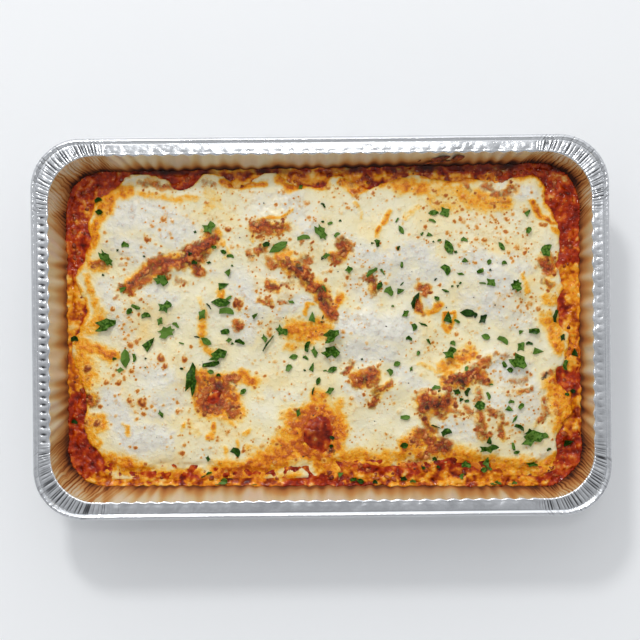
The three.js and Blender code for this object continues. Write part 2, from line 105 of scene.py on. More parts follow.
WALL_HEIGHTS = [48.75, 48.3, 47.4, 46, 43.5, 41, 38, 35, 32, 29, 20, 12, 5.5]
FOOT_RINGS = [(1.6, 1.3), (0.5, 3.2), (FOIL_THICKNESS, 5.5)]  # height, inset
FLANGE_RINGS = [  # out from the mouth's edge, drop
    (8.0, 0.6), (6.9, 0.3), (6.3, 0), (5.6, 0), (4.9, 0), (4.1, 0), (3.3, 0), (2.5, 0),
    (1.7, 0), (1.0, 0), (0.5, 0), (0.2, 0.08),
]
BASE_BORDER = 6
PANEL_STEP = 2
PANEL_RISE = 1
BEAD_POINTS = 18
BEAD_FAN = 9.2
BEAD_GROOVES = [(60, 12, 0.15), (120, 15, 0.35)]  # degrees round the bead, width, depth


def smooth(value):
    """0 below 0, 1 above 1, and an eased slope between."""
    share = np.clip(value, 0, 1)
    return share * share * (3 - 2 * share)


def uneven(x, y, size, seed):
    """Smooth random heights from -1 to 1, with swells about `size` apart."""
    table = np.random.default_rng(seed).uniform(-1, 1, (128, 128))
    across, up = (0.8 * x + 0.6 * y) / size, (0.8 * y - 0.6 * x) / size
    column, row = np.floor(across).astype(int), np.floor(up).astype(int)
    right, top = smooth(across - column), smooth(up - row)
    value = 0
    for i, wide in ((0, 1 - right), (1, right)):
        for j, high in ((0, 1 - top), (1, top)):
            value = value + wide * high * table[(column + i) % 128, (row + j) % 128]
    return value


def half_side(reach, step):
    """Distances from a corner's middle to a side's middle, closer together on the pleats."""
    pleated = np.arange(0, PLEATED, PLEAT_STEP)
    count = round((reach - PLEATED) / step)
    return np.append(pleated, np.linspace(PLEATED, reach, count + 1))


# Columns of foil round the tray. Each belongs to its nearest corner, and lies at an offset
# along the mouth from that corner's middle.
mouth_arc = MOUTH_CORNER * math.pi / 4
long_reach = mouth_arc + MOUTH_HALF_X - MOUTH_CORNER
short_reach = mouth_arc + MOUTH_HALF_Y - MOUTH_CORNER
long_half, short_half = half_side(long_reach, LONG_STEP), half_side(short_reach, SHORT_STEP)
corner_of, offset_of = [], []
for corner in range(4):
    before, after = (short_half, long_half) if corner % 2 == 0 else (long_half, short_half)
    offsets = np.concatenate([-before[:0:-1], after[:-1]])
    corner_of.append(np.full(len(offsets), corner))
    offset_of.append(offsets)
corner_of = np.concatenate(corner_of)
offset_of = np.concatenate(offset_of)
on_even = corner_of % 2 == 0
on_long = on_even == (offset_of > 0)
reach_of = np.where(on_long, long_reach, short_reach)
away_of = np.abs(offset_of)
from_side_middle = reach_of - away_of
quarter = np.array([[1, 0], [0, 1], [-1, 0], [0, -1]])


def ring(half_x, half_y, radius, spread, relief=0, slide=0):
    """x and y of every column on a rounded rectangle. `spread` is how far from a corner's
    middle its pleats reach there, `relief` pushes the foil outwards and `slide` along."""
    arc = radius * math.pi / 4
    reach = arc + np.where(on_long, half_x, half_y) - radius
    square_on = reach - reach_of + away_of
    lean = (spread - PLEATED - reach + reach_of) * (1 - smooth((away_of - PLEATED) / FAN_REACH))
    moved = np.where(away_of < PLEATED, away_of * spread / PLEATED, square_on + lean)
    moved = moved + slide * smooth(away_of / 3) * smooth((PLEATED - away_of) / 3)
    angle = math.pi / 4 + np.sign(offset_of) * np.minimum(moved / radius, math.pi / 4)
    beyond = np.maximum(moved - arc, 0)
    first = np.where(on_even, half_x, half_y) - radius
    second = np.where(on_even, half_y, half_x) - radius
    across = first + (radius + relief) * np.cos(angle) - np.where(offset_of > 0, beyond, 0)
    along = second + (radius + relief) * np.sin(angle) - np.where(offset_of < 0, beyond, 0)
    turn = quarter[corner_of]
    return across * turn[:, 0] - along * turn[:, 1], across * turn[:, 1] + along * turn[:, 0]


# Sharp creases on the corners, unevenly spaced. Each is given by its place, width and
# depth, and is told apart by columns, so flange and wall share them.
random = np.random.default_rng(7)
creases = np.zeros(len(offset_of))
for corner in range(4):
    place = -PLEATED - 1
    while place < PLEATED + 2:
        place += PLEAT_PITCH * random.uniform(*PLEAT_SPACING)
        fade = 1 - 0.8 * smooth((abs(place) - 20) / 9)
        here = np.where(corner_of == corner, offset_of - place, 99)
        deep, half_width = random.uniform(*PLEAT_DEPTH), random.uniform(*PLEAT_HALF_WIDTH)
        creases += fade * deep * np.exp(-(here / half_width) ** 2)
unpleated = smooth((away_of - PLEATED + 5) / 8)
fluting = unpleated * np.cos(2 * math.pi * from_side_middle / FLUTE_PITCH)
crimping = unpleated * ((1 + np.cos(2 * math.pi * from_side_middle / CRIMP_PITCH)) / 2) ** 3
on_left = np.isin(corner_of, (1, 2))
crimp_depth = np.where(on_long, CRIMP_DEPTH_LONG,
                       np.where(on_left, CRIMP_DEPTH_LEFT, CRIMP_DEPTH_RIGHT))


def wall_ring(z, inset=0.0):
    """The inner face of the wall at height z, which may differ from column to column."""
    depth = FLANGE_TOP - z
    shrink = depth * WALL_LEAN + inset
    radius = MOUTH_CORNER + (FOOT_CORNER - MOUTH_CORNER) * depth / FLANGE_TOP - inset
    fold = smooth((z - 3) / 8)
    broken = 0.7 + 0.5 * uneven(offset_of + 60 * corner_of, 0.6 * z, 2.5, 8)
    waves = FLUTE_DEPTH * (0.48 + 0.02 * np.exp(-depth / 2)) * fluting
    relief = fold * (waves + 1.1 * creases * broken * smooth(depth / 1.5))
    fan = PLEATED + PLEAT_FAN * np.minimum(depth, 24)
    slide = 0.9 * fold * uneven(offset_of + 60 * corner_of, 1.5 * z, 6, 9)
    x, y = ring(MOUTH_HALF_X - shrink, MOUTH_HALF_Y - shrink, radius, fan, relief, slide)
    return np.stack([x, y, np.broadcast_to(z, x.shape)], axis=1)


def pressed_at(out):
    """How strongly the die pressed the folds, and how deep the crimps are, `out` from the
    mouth's edge."""
    emboss = math.sin(math.pi * out / EMBOSSED_WIDTH) ** 0.5 if out < EMBOSSED_WIDTH else 0
    here = math.exp(-((out - CRIMP_PLACE) / CRIMP_HALF_LENGTH) ** 2)
    return emboss, here * crimp_depth * crimping


def flange_ring(out, drop):
    """The flange, `out` from the mouth's edge."""
    radius = MOUTH_CORNER + (TRAY_CORNER - MOUTH_CORNER) * out / RIM_WIDTH
    emboss, dashes = pressed_at(out)
    scallops = SCALLOP_DEPTH * math.exp(-((out - SCALLOP_PLACE) / 1.1) ** 2) * (1 + fluting) / 2
    x, y = ring(MOUTH_HALF_X + out, MOUTH_HALF_Y + out, radius, PLEATED + FLANGE_FAN * out,
                float(1 - smooth(out / 1.6)) * (0.5 * FLUTE_DEPTH * fluting + 0.3 * creases))
    broken = 0.6 + 0.4 * uneven(x, y, 3, 4)
    z = (FLANGE_TOP - drop - 0.55 * emboss * creases * broken - scallops * unpleated - dashes
         + emboss * (0.1 * uneven(x, y, 9, 3) + 0.14 * (1 - unpleated) * uneven(x, y, 2.2, 6)))
    return np.stack([x, y, z], axis=1)


def painted_fold_shade(out):
    """Painted shade in the flange's folds and crimps, `out` from the mouth's edge."""
    emboss, dashes = pressed_at(out)
    return emboss * creases + 2.2 * dashes


def closed(rings):
    """Rings of points or numbers, each with its first one again at its end."""
    return np.concatenate([rings, rings[:, :1]], axis=1)


def put_vertices(mesh, points):
    """Moves all the vertices of a mesh to the given places in millimetres."""
    mesh.vertices.foreach_set("co", np.ascontiguousarray(points * MM, dtype=np.float32).ravel())
    mesh.update()


def primitive(name, add, **settings):
    """A new piece, made by one of the operators that add a primitive."""
    bpy.ops.object.select_all(action="DESELECT")
    add(**settings)
    piece = bpy.context.active_object
    piece.name = piece.data.name = name
    return piece


def grid_of(name, points):
    """A grid, one vertex to each of rows by columns of points."""
    rows, columns = points.shape[:2]
    piece = primitive(name, bpy.ops.mesh.primitive_grid_add,
                      x_subdivisions=columns - 1, y_subdivisions=rows - 1)
    put_vertices(piece.data, points.reshape(-1, 3))
    return piece


def weld():
    """Joins the seams of a wrapped grid."""
    bpy.ops.object.mode_set(mode="EDIT")
    bpy.ops.mesh.select_all(action="SELECT")
    bpy.ops.mesh.remove_doubles(threshold=1e-6)
    bpy.ops.mesh.normals_make_consistent(inside=False)
    bpy.ops.object.mode_set(mode="OBJECT")


def apply_modifier(piece, kind, **settings):
    modifier = piece.modifiers.new(kind.lower(), kind)
    for name, value in settings.items():
        setattr(modifier, name, value)
    bpy.context.view_layer.objects.active = piece
    bpy.ops.object.modifier_apply(modifier=modifier.name)


def vertices_of(mesh):
    """The vertices of a mesh in millimetres."""
    points = np.empty(len(mesh.vertices) * 3, np.float32)
    mesh.vertices.foreach_get("co", points)
    return points.reshape(-1, 3).astype(float) / MM


def paint(piece, name, values):
    """Stores a number on each vertex, or one on all of them, for the material to read."""
    layer = piece.data.attributes.new(name, "FLOAT", "POINT")
    numbers = np.broadcast_to(np.ravel(values), len(layer.data))
    layer.data.foreach_set("value", np.ascontiguousarray(numbers, dtype=np.float32))


def painted(piece, name):
    """The numbers painted on a piece."""
    values = np.empty(len(piece.data.vertices), np.float32)
    piece.data.attributes[name].data.foreach_get("value", values)
    return values


tray_rings = [
    *[flange_ring(out, drop) for out, drop in FLANGE_RINGS],
    *[wall_ring(z) for z in WALL_HEIGHTS],
    *[wall_ring(z, inset) for z, inset in FOOT_RINGS],
]
tray = grid_of("pressed_foil_tray", closed(np.stack(tray_rings)))
on_wall = np.arange(len(tray_rings)) >= len(FLANGE_RINGS)
paint(tray, "fold", closed(np.outer(on_wall, creases + 0.08 * fluting)))
# Painted shade for the flange's tight folds and crimps.
shaded = np.zeros((len(tray_rings), len(creases)))
for row, (out, _) in enumerate(FLANGE_RINGS):
    shaded[row] = painted_fold_shade(out)
paint(tray, "shaded", closed(shaded))
weld()
if tray.data.polygons[0].normal.z < 0:
    tray.data.flip_normals()

# The base: the inner border is filled, and a raised panel is pressed into it.
bpy.ops.object.mode_set(mode="EDIT")
bpy.ops.mesh.select_mode(type="EDGE")
bpy.ops.mesh.select_all(action="DESELECT")
bpy.ops.object.mode_set(mode="OBJECT")
low = vertices_of(tray.data)[:, 2] < FOIL_THICKNESS + 0.01
for edge in tray.data.edges:
    edge.select = bool(low[edge.vertices[0]] and low[edge.vertices[1]])
bpy.ops.object.mode_set(mode="EDIT")
bpy.ops.mesh.edge_face_add()
bpy.ops.mesh.inset(thickness=BASE_BORDER * MM)
bpy.ops.mesh.inset(thickness=PANEL_STEP * MM, depth=PANEL_RISE * MM)
bpy.ops.object.mode_set(mode="OBJECT")
inner_count = len(tray.data.vertices)
apply_modifier(tray, "SOLIDIFY", thickness=FOIL_THICKNESS * MM, offset=-1)

# The bead: the flange's edge rolled into a tube, with two fine lines along its top. It has
# half as many columns as the tray, and crumples a little at the corners.
every_other = slice(None, None, 2)
dents = 0.1 + 0.5 * (1 - smooth((away_of - 22) / 10))
bead_rings = []
for k in range(BEAD_POINTS + 1):
    turn = 2 * math.pi * k / BEAD_POINTS
    radius = BEAD_ACROSS / 2 - sum(depth * math.exp(-((math.degrees(turn) - at) / width) ** 2)
                                   for at, width, depth in BEAD_GROOVES)
    inset = BEAD_ACROSS / 2 - radius * math.cos(turn)
    x, y = ring(TRAY_LENGTH / 2 - inset, TRAY_WIDTH / 2 - inset, TRAY_CORNER - inset,
                PLEATED + BEAD_FAN)
    crumple = dents * (0.25 * uneven(x, y, 1.4, 5) + 0.2 * creases * (math.sin(turn) > 0.3))
    z = TRAY_HEIGHT - BEAD_ACROSS / 2 + (radius - 0.05) * math.sin(turn) - np.maximum(crumple, 0)
    bead_rings.append(np.stack([x, y, z], axis=1)[every_other])
bead_rings[-1] = bead_rings[0]
bead = grid_of("rolled_bead", closed(np.stack(bead_rings)))
# Painted shade in the bead's crumpled corners.
bead_shade = 0.4 * creases[every_other]
paint(bead, "shaded", closed(np.tile(bead_shade, (len(bead_rings), 1))))
weld()


def linear(code):
    """An sRGB colour such as E6DEBD as linear red, green, blue and alpha."""
    parts = [int(code[i:i + 2], 16) / 255 for i in (0, 2, 4)]
    return [c / 12.92 if c <= 0.04045 else ((c + 0.055) / 1.055) ** 2.4 for c in parts] + [1]


def new_material(name, **settings):
    """A material whose shader's own sockets hold the settings. Returns it and its shader."""
    material = bpy.data.materials.new(name)
    material.use_nodes = True
    shader = material.node_tree.nodes["Principled BSDF"]
    for socket, value in settings.items():
        shader.inputs[socket.replace("_", " ")].default_value = value
    return material, shader


def add_node(material, kind, inputs=None, output=0, stops=None, **settings):
    """Adds a shader node and returns one of its outputs. `inputs` gives each input a number,
    a colour, an output to read or None, and `stops` the places and colours of a ramp."""
    made = material.node_tree.nodes.new(kind)
    for name, value in settings.items():
        setattr(made, name, value)
    for name, value in (inputs or {}).items():
        if isinstance(value, bpy.types.NodeSocket):
            material.node_tree.links.new(value, made.inputs[name])
        elif value is not None:
            made.inputs[name].default_value = linear(value) if isinstance(value, str) else value
    if stops:
        ramp = made.color_ramp.elements
        while len(ramp) < len(stops):
            ramp.new(1)
        for element, (place, colour) in zip(ramp, stops):
            element.position = place
            element.color = linear(colour) if isinstance(colour, str) else [colour] * 3 + [1]
    return made.outputs[output]


def scale_of(size):
    """A pattern's scale, worked out from the real size of its grains in millimetres."""
    return 1 / (size * MM)


def wire(shader, **outputs):
    """Joins outputs to a shader's own sockets."""
    for socket, output in outputs.items():
        shader.id_data.links.new(output, shader.inputs[socket.replace("_", " ")])


# Rolled aluminium foil: a bright mirror, broken by fine wrinkles and faint rolling lines.
# Painted shade darkens the tight folds, and a dull film of baked-on fat and sauce warms it
# near the food.
foil, foil_shader = new_material("rolled_aluminium_foil")
place = add_node(foil, "ShaderNodeTexCoord", output="Object")
film, shaded = (add_node(foil, "ShaderNodeAttribute", output="Fac", attribute_name=name)
                for name in ("film", "shaded"))
dents, wrinkles = (
    add_node(foil, "ShaderNodeTexNoise", {
        "Vector": place, "Scale": scale_of(size), "Detail": detail})
    for size, detail in ((9, 2), (2.2, 3)))
# Rolling lines are a few hundredths of a millimetre apart. They are drawn at 0.4 mm.
along_roll = add_node(foil, "ShaderNodeMapping", {
    "Vector": place, "Scale": (scale_of(17), scale_of(0.4), scale_of(0.4))})
lines = add_node(foil, "ShaderNodeTexNoise", {"Vector": along_roll, "Scale": 1})
shade, gloss, metal = (
    add_node(foil, "ShaderNodeMapRange", {
        "Value": value, "From Min": start, "From Max": full, "To Min": low, "To Max": high})
    for value, start, full, low, high in (
        (shaded, 0.1, 0.55, 0, 0.92), (dents, 0.3, 0.7, 0.12, 0.26), (film, 0.02, 0.15, 1, 0.35)))
dulled = add_node(foil, "ShaderNodeMath", {0: film, 1: 1.1, 2: gloss}, operation="MULTIPLY_ADD")
tint = add_node(foil, "ShaderNodeValToRGB", {"Fac": film}, stops=[
    (0, "DADCDF"), (0.12, "DDD7C4"), (0.26, "D2BE94"), (0.4, "C49458"), (0.56, "AC6C34"),
    (0.74, "80451C"), (1, "3A180C")])
# Mixes painted shade into the tight folds.
tint = add_node(foil, "ShaderNodeMix", {"Factor": shade, 6: tint, 7: "1E2024"}, 2,
                data_type="RGBA")
relief = None
for pattern, strength, height in ((dents, 0.2, 0.8), (wrinkles, 0.3, 0.3), (lines, 0.12, 0.1)):
    relief = add_node(foil, "ShaderNodeBump", {
        "Height": pattern, "Strength": strength, "Distance": height * MM, "Normal": relief})
wire(foil_shader, Base_Color=tint, Roughness=dulled, Metallic=metal, Normal=relief)


def food_level(x):
    """The food lies a little higher towards +X."""
    return FOOD_LEVEL + FOOD_TILT * x


def finish(piece, material, slot, *nodes, crisp=False):
    """Gives a finished piece its material and ties it to the frame. A `crisp` piece keeps
    its sharp edges."""
    piece.data.materials.clear()
    piece.data.materials.append(material)
    bpy.ops.object.select_all(action="DESELECT")
    piece.select_set(True)
    bpy.context.view_layer.objects.active = piece
    if crisp:
        bpy.ops.object.shade_smooth_by_angle(angle=math.radians(25))
    else:
        bpy.ops.object.shade_smooth()
    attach(piece, "root")
    if nodes:
        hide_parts(*nodes)


# The film on the inside of the wall: thin, thicker towards the food and dark where it
# touches, streaked down the flutes, darker in the folds, and browner in the corners and
# round the burnt crust. On the far wall, next to the food, it is darker still: burnt-on
# sauce and painted shade; higher up there it is a little paler, which is painted light.
tray_x, tray_y, tray_z = vertices_of(tray.data).T
above = tray_z - food_level(tray_x) + 1.5 * uneven(tray_x, tray_y, 12, 11)
above -= 1.1 * (1 + uneven(tray_x, tray_y, 3.5, 13))
off_food = np.maximum(above, 0)
on_short_wall = np.abs(tray_x) - MOUTH_HALF_X > np.abs(tray_y) - MOUTH_HALF_Y
along = np.where(on_short_wall, tray_y, tray_x + 400)
streaked = 0.2 * uneven(along, 0.12 * tray_z, 4.5, 12) + 0.34 * painted(tray, "fold")
in_corner = smooth(np.hypot(tray_x / MOUTH_HALF_X, tray_y / MOUTH_HALF_Y) / 0.2 - 5)
# Far wall only: darker next to the food (burnt-on sauce and painted shade), paler higher up
# (painted light), and a real stain round the crust.
far_stain_and_painted_light = 0.3 * np.exp(-off_food / 3) - 0.1 * smooth(above / 6)
far_stain_and_painted_light += 0.35 * np.exp(-((tray_x - 68) / 9) ** 2 - ((tray_z - 36) / 5) ** 2)
film = 0.12 + 0.26 * smooth((18 - above) / 16) + 0.36 * np.exp(-off_food / 2)
film += streaked + 0.1 * in_corner + far_stain_and_painted_light * (tray_y > FAR_WALL)
is_inner = (np.arange(len(tray_z)) < inner_count) & (tray_z < FILM_TOP)
paint(tray, "film", np.where(is_inner, np.maximum(film, 0.15), 0))
paint(bead, "film", 0)
for piece in (tray, bead):
    finish(piece, foil, "foil", "foil_tray")

# ---- Lasagne filling ----
# Pasta, meat sauce and tomato, baked until the sauce is thick and dark round the edges. It
# fills the tray to about three fifths of its height, and shows as a glossy red margin, as a
# dome that rose through the cheese and in a small gap beside it.

SAUCE_BELOW_LEVEL = 1
WALL_GAP = 0.5
FOOT_INSET = 2.5
TOP_COLUMNS = 357
TOP_ROWS = 237
MOUNDS = [  # x, y, length along X, length along Y, rise
    (-98, 55, 62, 42, 4.2), (-98, 14, 52, 26, 3), (-97, -34, 46, 56, 3.6),
    (-100, -66, 52, 24, 2), (-19, 52, 50, 44, 4.6), (-28, 14, 44, 28, 3.4),
    (-28, -58, 44, 34, 1.6), (38, 42, 52, 38, 3.4), (30, -4, 48, 26, 4.4),
    (30, -34, 44, 28, 3), (44, -62, 34, 26, 1.4), (101, 24, 44, 46, 3.6),
    (116, 74, 32, 24, 2), (92, -45, 70, 58, 5.2),
]
ISLANDS = [(-62, -39, 4.2, 0.6), (-3, -61, 10.5, 4.4)]  # x, y, radius, rise
DOME_X, DOME_Y = ISLANDS[1][:2]


def bell(distance):
    return np.exp(-distance ** 2)


def swell(x, y):
    """The low mounds of the stacked filling, which the cheese follows."""
    return sum(rise * bell(np.hypot(2 * (x - at_x) / across_x, 2 * (y - at_y) / across_y))
               for at_x, at_y, across_x, across_y, rise in MOUNDS)


def unevenness(x, y):
    return (0.35 * np.sin(x / 5.3 + 1.7 * np.sin(y / 9)) * np.cos(y / 4.7 + x / 23)
            + 0.2 * np.sin(x / 3.1 - y / 6.1))


def crumbs(x, y, size, seed):
    """Rounded lumps with narrow clefts between, 0 in the clefts and 1 on the lumps."""
    return 1 - np.abs(uneven(x, y, size, seed)) ** 0.7


def sauce_top(x, y):
    islands = sum(rise * bell(np.hypot(x - at_x, y - at_y) / radius)
                  for at_x, at_y, radius, rise in ISLANDS)
    grain = 0.7 * crumbs(x, y, 3.4, 21) + 0.35 * uneven(x, y, 1.7, 22) - 0.4
    dome = bell(np.hypot(x - DOME_X, y - DOME_Y) / 9)
    return (food_level(x) - SAUCE_BELOW_LEVEL + swell(x, y) + 1.4 * unevenness(y, x) + islands
            + 0.8 * grain * (1 - dome))


def rounded(u, v, half_x, half_y, radius):
    """Carries points of a square from -1 to 1 over to a rounded rectangle."""
    size = np.maximum(np.abs(u), np.abs(v))
    scale = np.where(size > 0, size, 1)
    x, y = u / scale * half_x, v / scale * half_y
    inner_x = np.clip(x, radius - half_x, half_x - radius)
    inner_y = np.clip(y, radius - half_y, half_y - radius)
    beyond = np.hypot(x - inner_x, y - inner_y)
    pull = np.where(beyond > radius, radius / np.where(beyond > 0, beyond, 1), 1)
    x, y = inner_x + (x - inner_x) * pull, inner_y + (y - inner_y) * pull
    return x * size, y * size


def close_below():
    """Fills the open border of the active grid, so it is a closed form, normals outward."""
    bpy.ops.object.mode_set(mode="EDIT")
    bpy.ops.mesh.select_all(action="SELECT")
    bpy.ops.mesh.region_to_loop()
    bpy.ops.mesh.edge_face_add()
    bpy.ops.mesh.select_all(action="SELECT")
    bpy.ops.mesh.normals_make_consistent(inside=False)
    bpy.ops.object.mode_set(mode="OBJECT")


# The top is a fine grid. Its last rings turn down and follow the leaning wall to the base.
down_to = [26, 14, 1]
u, v = (np.concatenate([[-1] * len(down_to), np.linspace(-1, 1, count), [1] * len(down_to)])
        for count in (TOP_COLUMNS, TOP_ROWS))
grid_u, grid_v = np.meshgrid(u, v)
rank = np.minimum.outer(*(np.minimum(np.arange(len(side)), np.arange(len(side))[::-1])
                          for side in (v, u)))
wall_z = food_level(grid_u * MOUTH_HALF_X) - SAUCE_BELOW_LEVEL
for step, z in enumerate(reversed(down_to)):
    wall_z = np.where(rank == step, z, wall_z)
depth = FLANGE_TOP - wall_z
lean = depth * WALL_LEAN + WALL_GAP
lean = np.where(rank == 0, lean + FOOT_INSET, lean)
x, y = rounded(grid_u, grid_v, MOUTH_HALF_X - lean, MOUTH_HALF_Y - lean,
               MOUTH_CORNER - (MOUTH_CORNER - FOOT_CORNER) * depth / FLANGE_TOP - WALL_GAP)
z = np.where(rank < len(down_to), wall_z, sauce_top(x, y))
filling = grid_of("sauce_and_filling", np.stack([x, y, z], axis=-1))
close_below()

# Baked tomato and meat sauce: dark red, wet and lumpy, with amber where fat has risen, and
# small pale flecks that are painted highlights, drawn as bits of hard cheese. The eye gets
# small sharp glints.
sauce, sauce_shader = new_material("baked_tomato_meat_sauce", IOR=1.3)
place = add_node(sauce, "ShaderNodeTexCoord", output="Object")
fat, burnt = (add_node(sauce, "ShaderNodeAttribute", output="Fac", attribute_name=name)
              for name in ("fat", "burnt"))
pools, pulp = (
    add_node(sauce, "ShaderNodeTexNoise", {
        "Vector": place, "Scale": scale_of(size), "Detail": 2, "Roughness": rough})
    for size, rough in ((7, 0.5), (3.8, 0.4)))
bits, glint_flecks = (
    add_node(sauce, "ShaderNodeTexVoronoi", {"Vector": place, "Scale": scale_of(size)})
    for size in (2.4, 3))
blend = add_node(sauce, "ShaderNodeMath", {0: pulp, 1: pools}, operation="ADD")
lifted = add_node(sauce, "ShaderNodeMath", {0: bits, 1: -0.22, 2: blend},
                  operation="MULTIPLY_ADD")
halved = add_node(sauce, "ShaderNodeMath", {0: lifted, 1: 0.5}, operation="MULTIPLY")
colour, amber = (add_node(sauce, "ShaderNodeValToRGB", {"Fac": halved}, stops=stops) for stops in (
    [(0.26, "4E0E03"), (0.37, "881E02"), (0.46, "AC3204"), (0.54, "CA5A10"), (0.65, "E0903A")],
    [(0.33, "9E3C04"), (0.41, "CC6A08"), (0.47, "E68E12"), (0.54, "EEAA34"), (0.62, "F0C878")]))
fatter = add_node(sauce, "ShaderNodeMath", {0: blend, 1: 1.1, 2: fat}, operation="MULTIPLY_ADD")
# Pale flecks, painted highlights.
glint_fleck = add_node(sauce, "ShaderNodeMath", {0: pulp, 1: -0.5, 2: glint_flecks},
                 operation="MULTIPLY_ADD")
amber_share, painted_glint_share, shine = (
    add_node(sauce, "ShaderNodeMapRange", {
        "Value": value, "From Min": start, "From Max": full, "To Min": low, "To Max": high})
    for value, start, full, low, high in (
        (fatter, 1.35, 1.75, 0, 1), (glint_fleck, -0.13, -0.2, 0, 0.6), (pulp, 0.35, 0.65, 0.05, 0.2)))
# The burnt colour along the far wall is partly painted shade.
for share, tone in ((amber_share, amber), (painted_glint_share, "E6AC7C"), (burnt, "2A0D04")):
    colour = add_node(sauce, "ShaderNodeMix", {"Factor": share, 6: colour, 7: tone}, 2,
                      data_type="RGBA")
relief = add_node(sauce, "ShaderNodeBump", {
    "Height": pulp, "Strength": 0.9, "Distance": 1.8 * MM})
relief = add_node(sauce, "ShaderNodeBump", {
    "Height": bits, "Strength": 0.3, "Distance": 0.8 * MM, "Normal": relief}, invert=True)
wire(sauce_shader, Base_Color=colour, Roughness=shine, Normal=relief)


def distance_to(x, y, start, end):
    """Distance to the line between two points."""
    (x0, y0), (x1, y1) = start, end
    long = max((x1 - x0) ** 2 + (y1 - y0) ** 2, 1e-9)
    share = np.clip(((x - x0) * (x1 - x0) + (y - y0) * (y1 - y0)) / long, 0, 1)
    return np.hypot(x - x0 - share * (x1 - x0), y - y0 - share * (y1 - y0))


def strokes(x, y, marks, spread):
    """Strength of the strongest mark at each point. Each fades out over its whole width,
    which is made `spread` times as wide."""
    strength = np.zeros_like(x)
    for line, width, peak in marks:
        near = distance_to(x, y, line[0], line[0])
        for start, end in zip(line, line[1:]):
            near = np.minimum(near, distance_to(x, y, start, end))
        strength = np.maximum(strength, peak * smooth(1.15 - near / (spread * width / 2)))
    return strength


FAT_ON_SAUCE = [  # the points of a line, its width and its strength
    ([(-128, -88), (-98, -91), (-60, -90), (-28, -90)], 11, 0.9),
    ([(-22, -78), (0, -82), (30, -88), (60, -90)], 9, 0.5),
    ([(62, -88), (90, -88), (118, -86)], 14, 0.6),
    ([(142, -20), (144, 5), (141, 30)], 11, 0.8),
    ([(141, -40), (141, -58)], 10, 0.7),
    ([(-142, -30), (-144, 0), (-140, 22)], 12, 0.85),
    ([(-138, 60), (-128, 76)], 9, 0.35),
    ([(-60, 87), (-30, 86), (10, 85), (60, 85), (100, 82)], 9, 0.62),
]


def fat_at(x, y):
    fat = strokes(x + 2 * uneven(x, y, 9, 31), y + 2 * uneven(x, y, 9, 32), FAT_ON_SAUCE, 1.3)
    for at_x, at_y, radius, _ in ISLANDS:
        away = np.hypot(x - at_x, y - at_y) + 1.5 * uneven(x, y, 5, 36)
        fat = np.maximum(fat, 0.45 * smooth(away / radius - 0.6) * smooth(2 - away / radius))
    return fat


def burnt_and_shade_at(x, y):
    """Sauce darker along the far wall, burnt on and partly painted shade, and the dome's dark
    skin.
    """
    far = smooth((y - 86.3) / 2.5) * (0.5 + 0.5 * uneven(x, y, 9, 34))
    return np.maximum(far, 0.5 * bell(np.hypot(x - DOME_X, y - DOME_Y) / 7))


x, y, z = vertices_of(filling.data).T
paint(filling, "fat", fat_at(x, y))
paint(filling, "burnt", burnt_and_shade_at(x, y))
finish(filling, sauce, "sauce", "lasagne_filling")

# ---- Oil along the wall ----
# Fat and thin sauce that boiled up against the foil. It clings to every flute as a narrow
# rounded fillet round the food.

TOWARDS_MIDDLE = 0.985
OIL_PROFILE = [  # how far off the wall, how far above the sauce
    (0.05, 0.9), (0.6, 0.8), (1.2, 0.5), (2.2, 0.1), (3.2, -0.6), (0.3, -2), (0.05, 0.9),
]


def oil_ring(inset, above):
    x, y, _ = wall_ring(food_level(0), inset).T
    z = sauce_top(x * TOWARDS_MIDDLE, y * TOWARDS_MIDDLE) + above + 0.8 * uneven(x, y, 4, 37)
    return wall_ring(z, inset)


oil_rings = np.stack([oil_ring(inset, above) for inset, above in OIL_PROFILE])
oil = grid_of("oil_along_the_wall", closed(oil_rings[:, every_other]))
weld()
x, y, z = vertices_of(oil.data).T
paint(oil, "fat", fat_at(x * 0.98, y * 0.98) + 0.3 * uneven(x, y, 9, 33))
# Darker along the far wall: burnt on, and partly painted shade.
paint(oil, "burnt", 1.2 * burnt_and_shade_at(x, y))
finish(oil, sauce, "sauce")

# ---- Melted cheese ----
# Grated cheese melted into one blanket over the filling. It browned in spots, dried to a
# paler skin on the high places, and thins to amber oil round its edges.

COVER_HALF_X = 138
COVER_HALF_Y = 83
COVER_CORNER = 20
GRID_HALF_X = 143.4
GRID_HALF_Y = 88.9
GRID_COLUMNS = 396
GRID_ROWS = 246
GRID_CORNER = 26
GRID_UNDERSIDE = 25
BLISTER_TRIES = 8000
CHEESE_HEIGHT = 32
VIEW_PIXELS = 640
PIXEL_AT_RIM = 0.5606  # millimetres
PIXEL = PIXEL_AT_RIM * (RIM_HEIGHT + CAMERA_ABOVE_RIM - CHEESE_HEIGHT * MM) / CAMERA_ABOVE_RIM
COVER_LOBES = [  # x, y, outward reach, width
    (-128, 80, -6, 13), (-102, 83, 14, 10), (-80, 83, -4, 7), (-61, 83, 15, 6),
    (-46, 83, -4, 6), (-28, 83, 14, 7), (-8, 83, -4, 12), (12, 83, 5, 6), (30, 83, -4, 10),
    (55, 83, 3, 9), (100, 83, -2, 11), (119, 83, 3, 8),
    (137, 70, -9, 12), (138, 38, -5, 9), (138, 6, -4, 9), (138, -9, 4, 7), (138, -30, -7, 6),
    (138, -47, 5, 9), (138, -66, -6, 9), (112, -83, 3, 14), (76, -83, -8, 18),
    (30, -83, -8, 20), (-42, -83, 4, 26), (-110, -81, 4, 12), (-134, -74, -9, 13),
    (-138, -41, -5, 8), (-138, -13, 5, 13), (-138, 13, -5, 9), (-138, 29, 4, 6),
    (-138, 56, -7, 18),
]
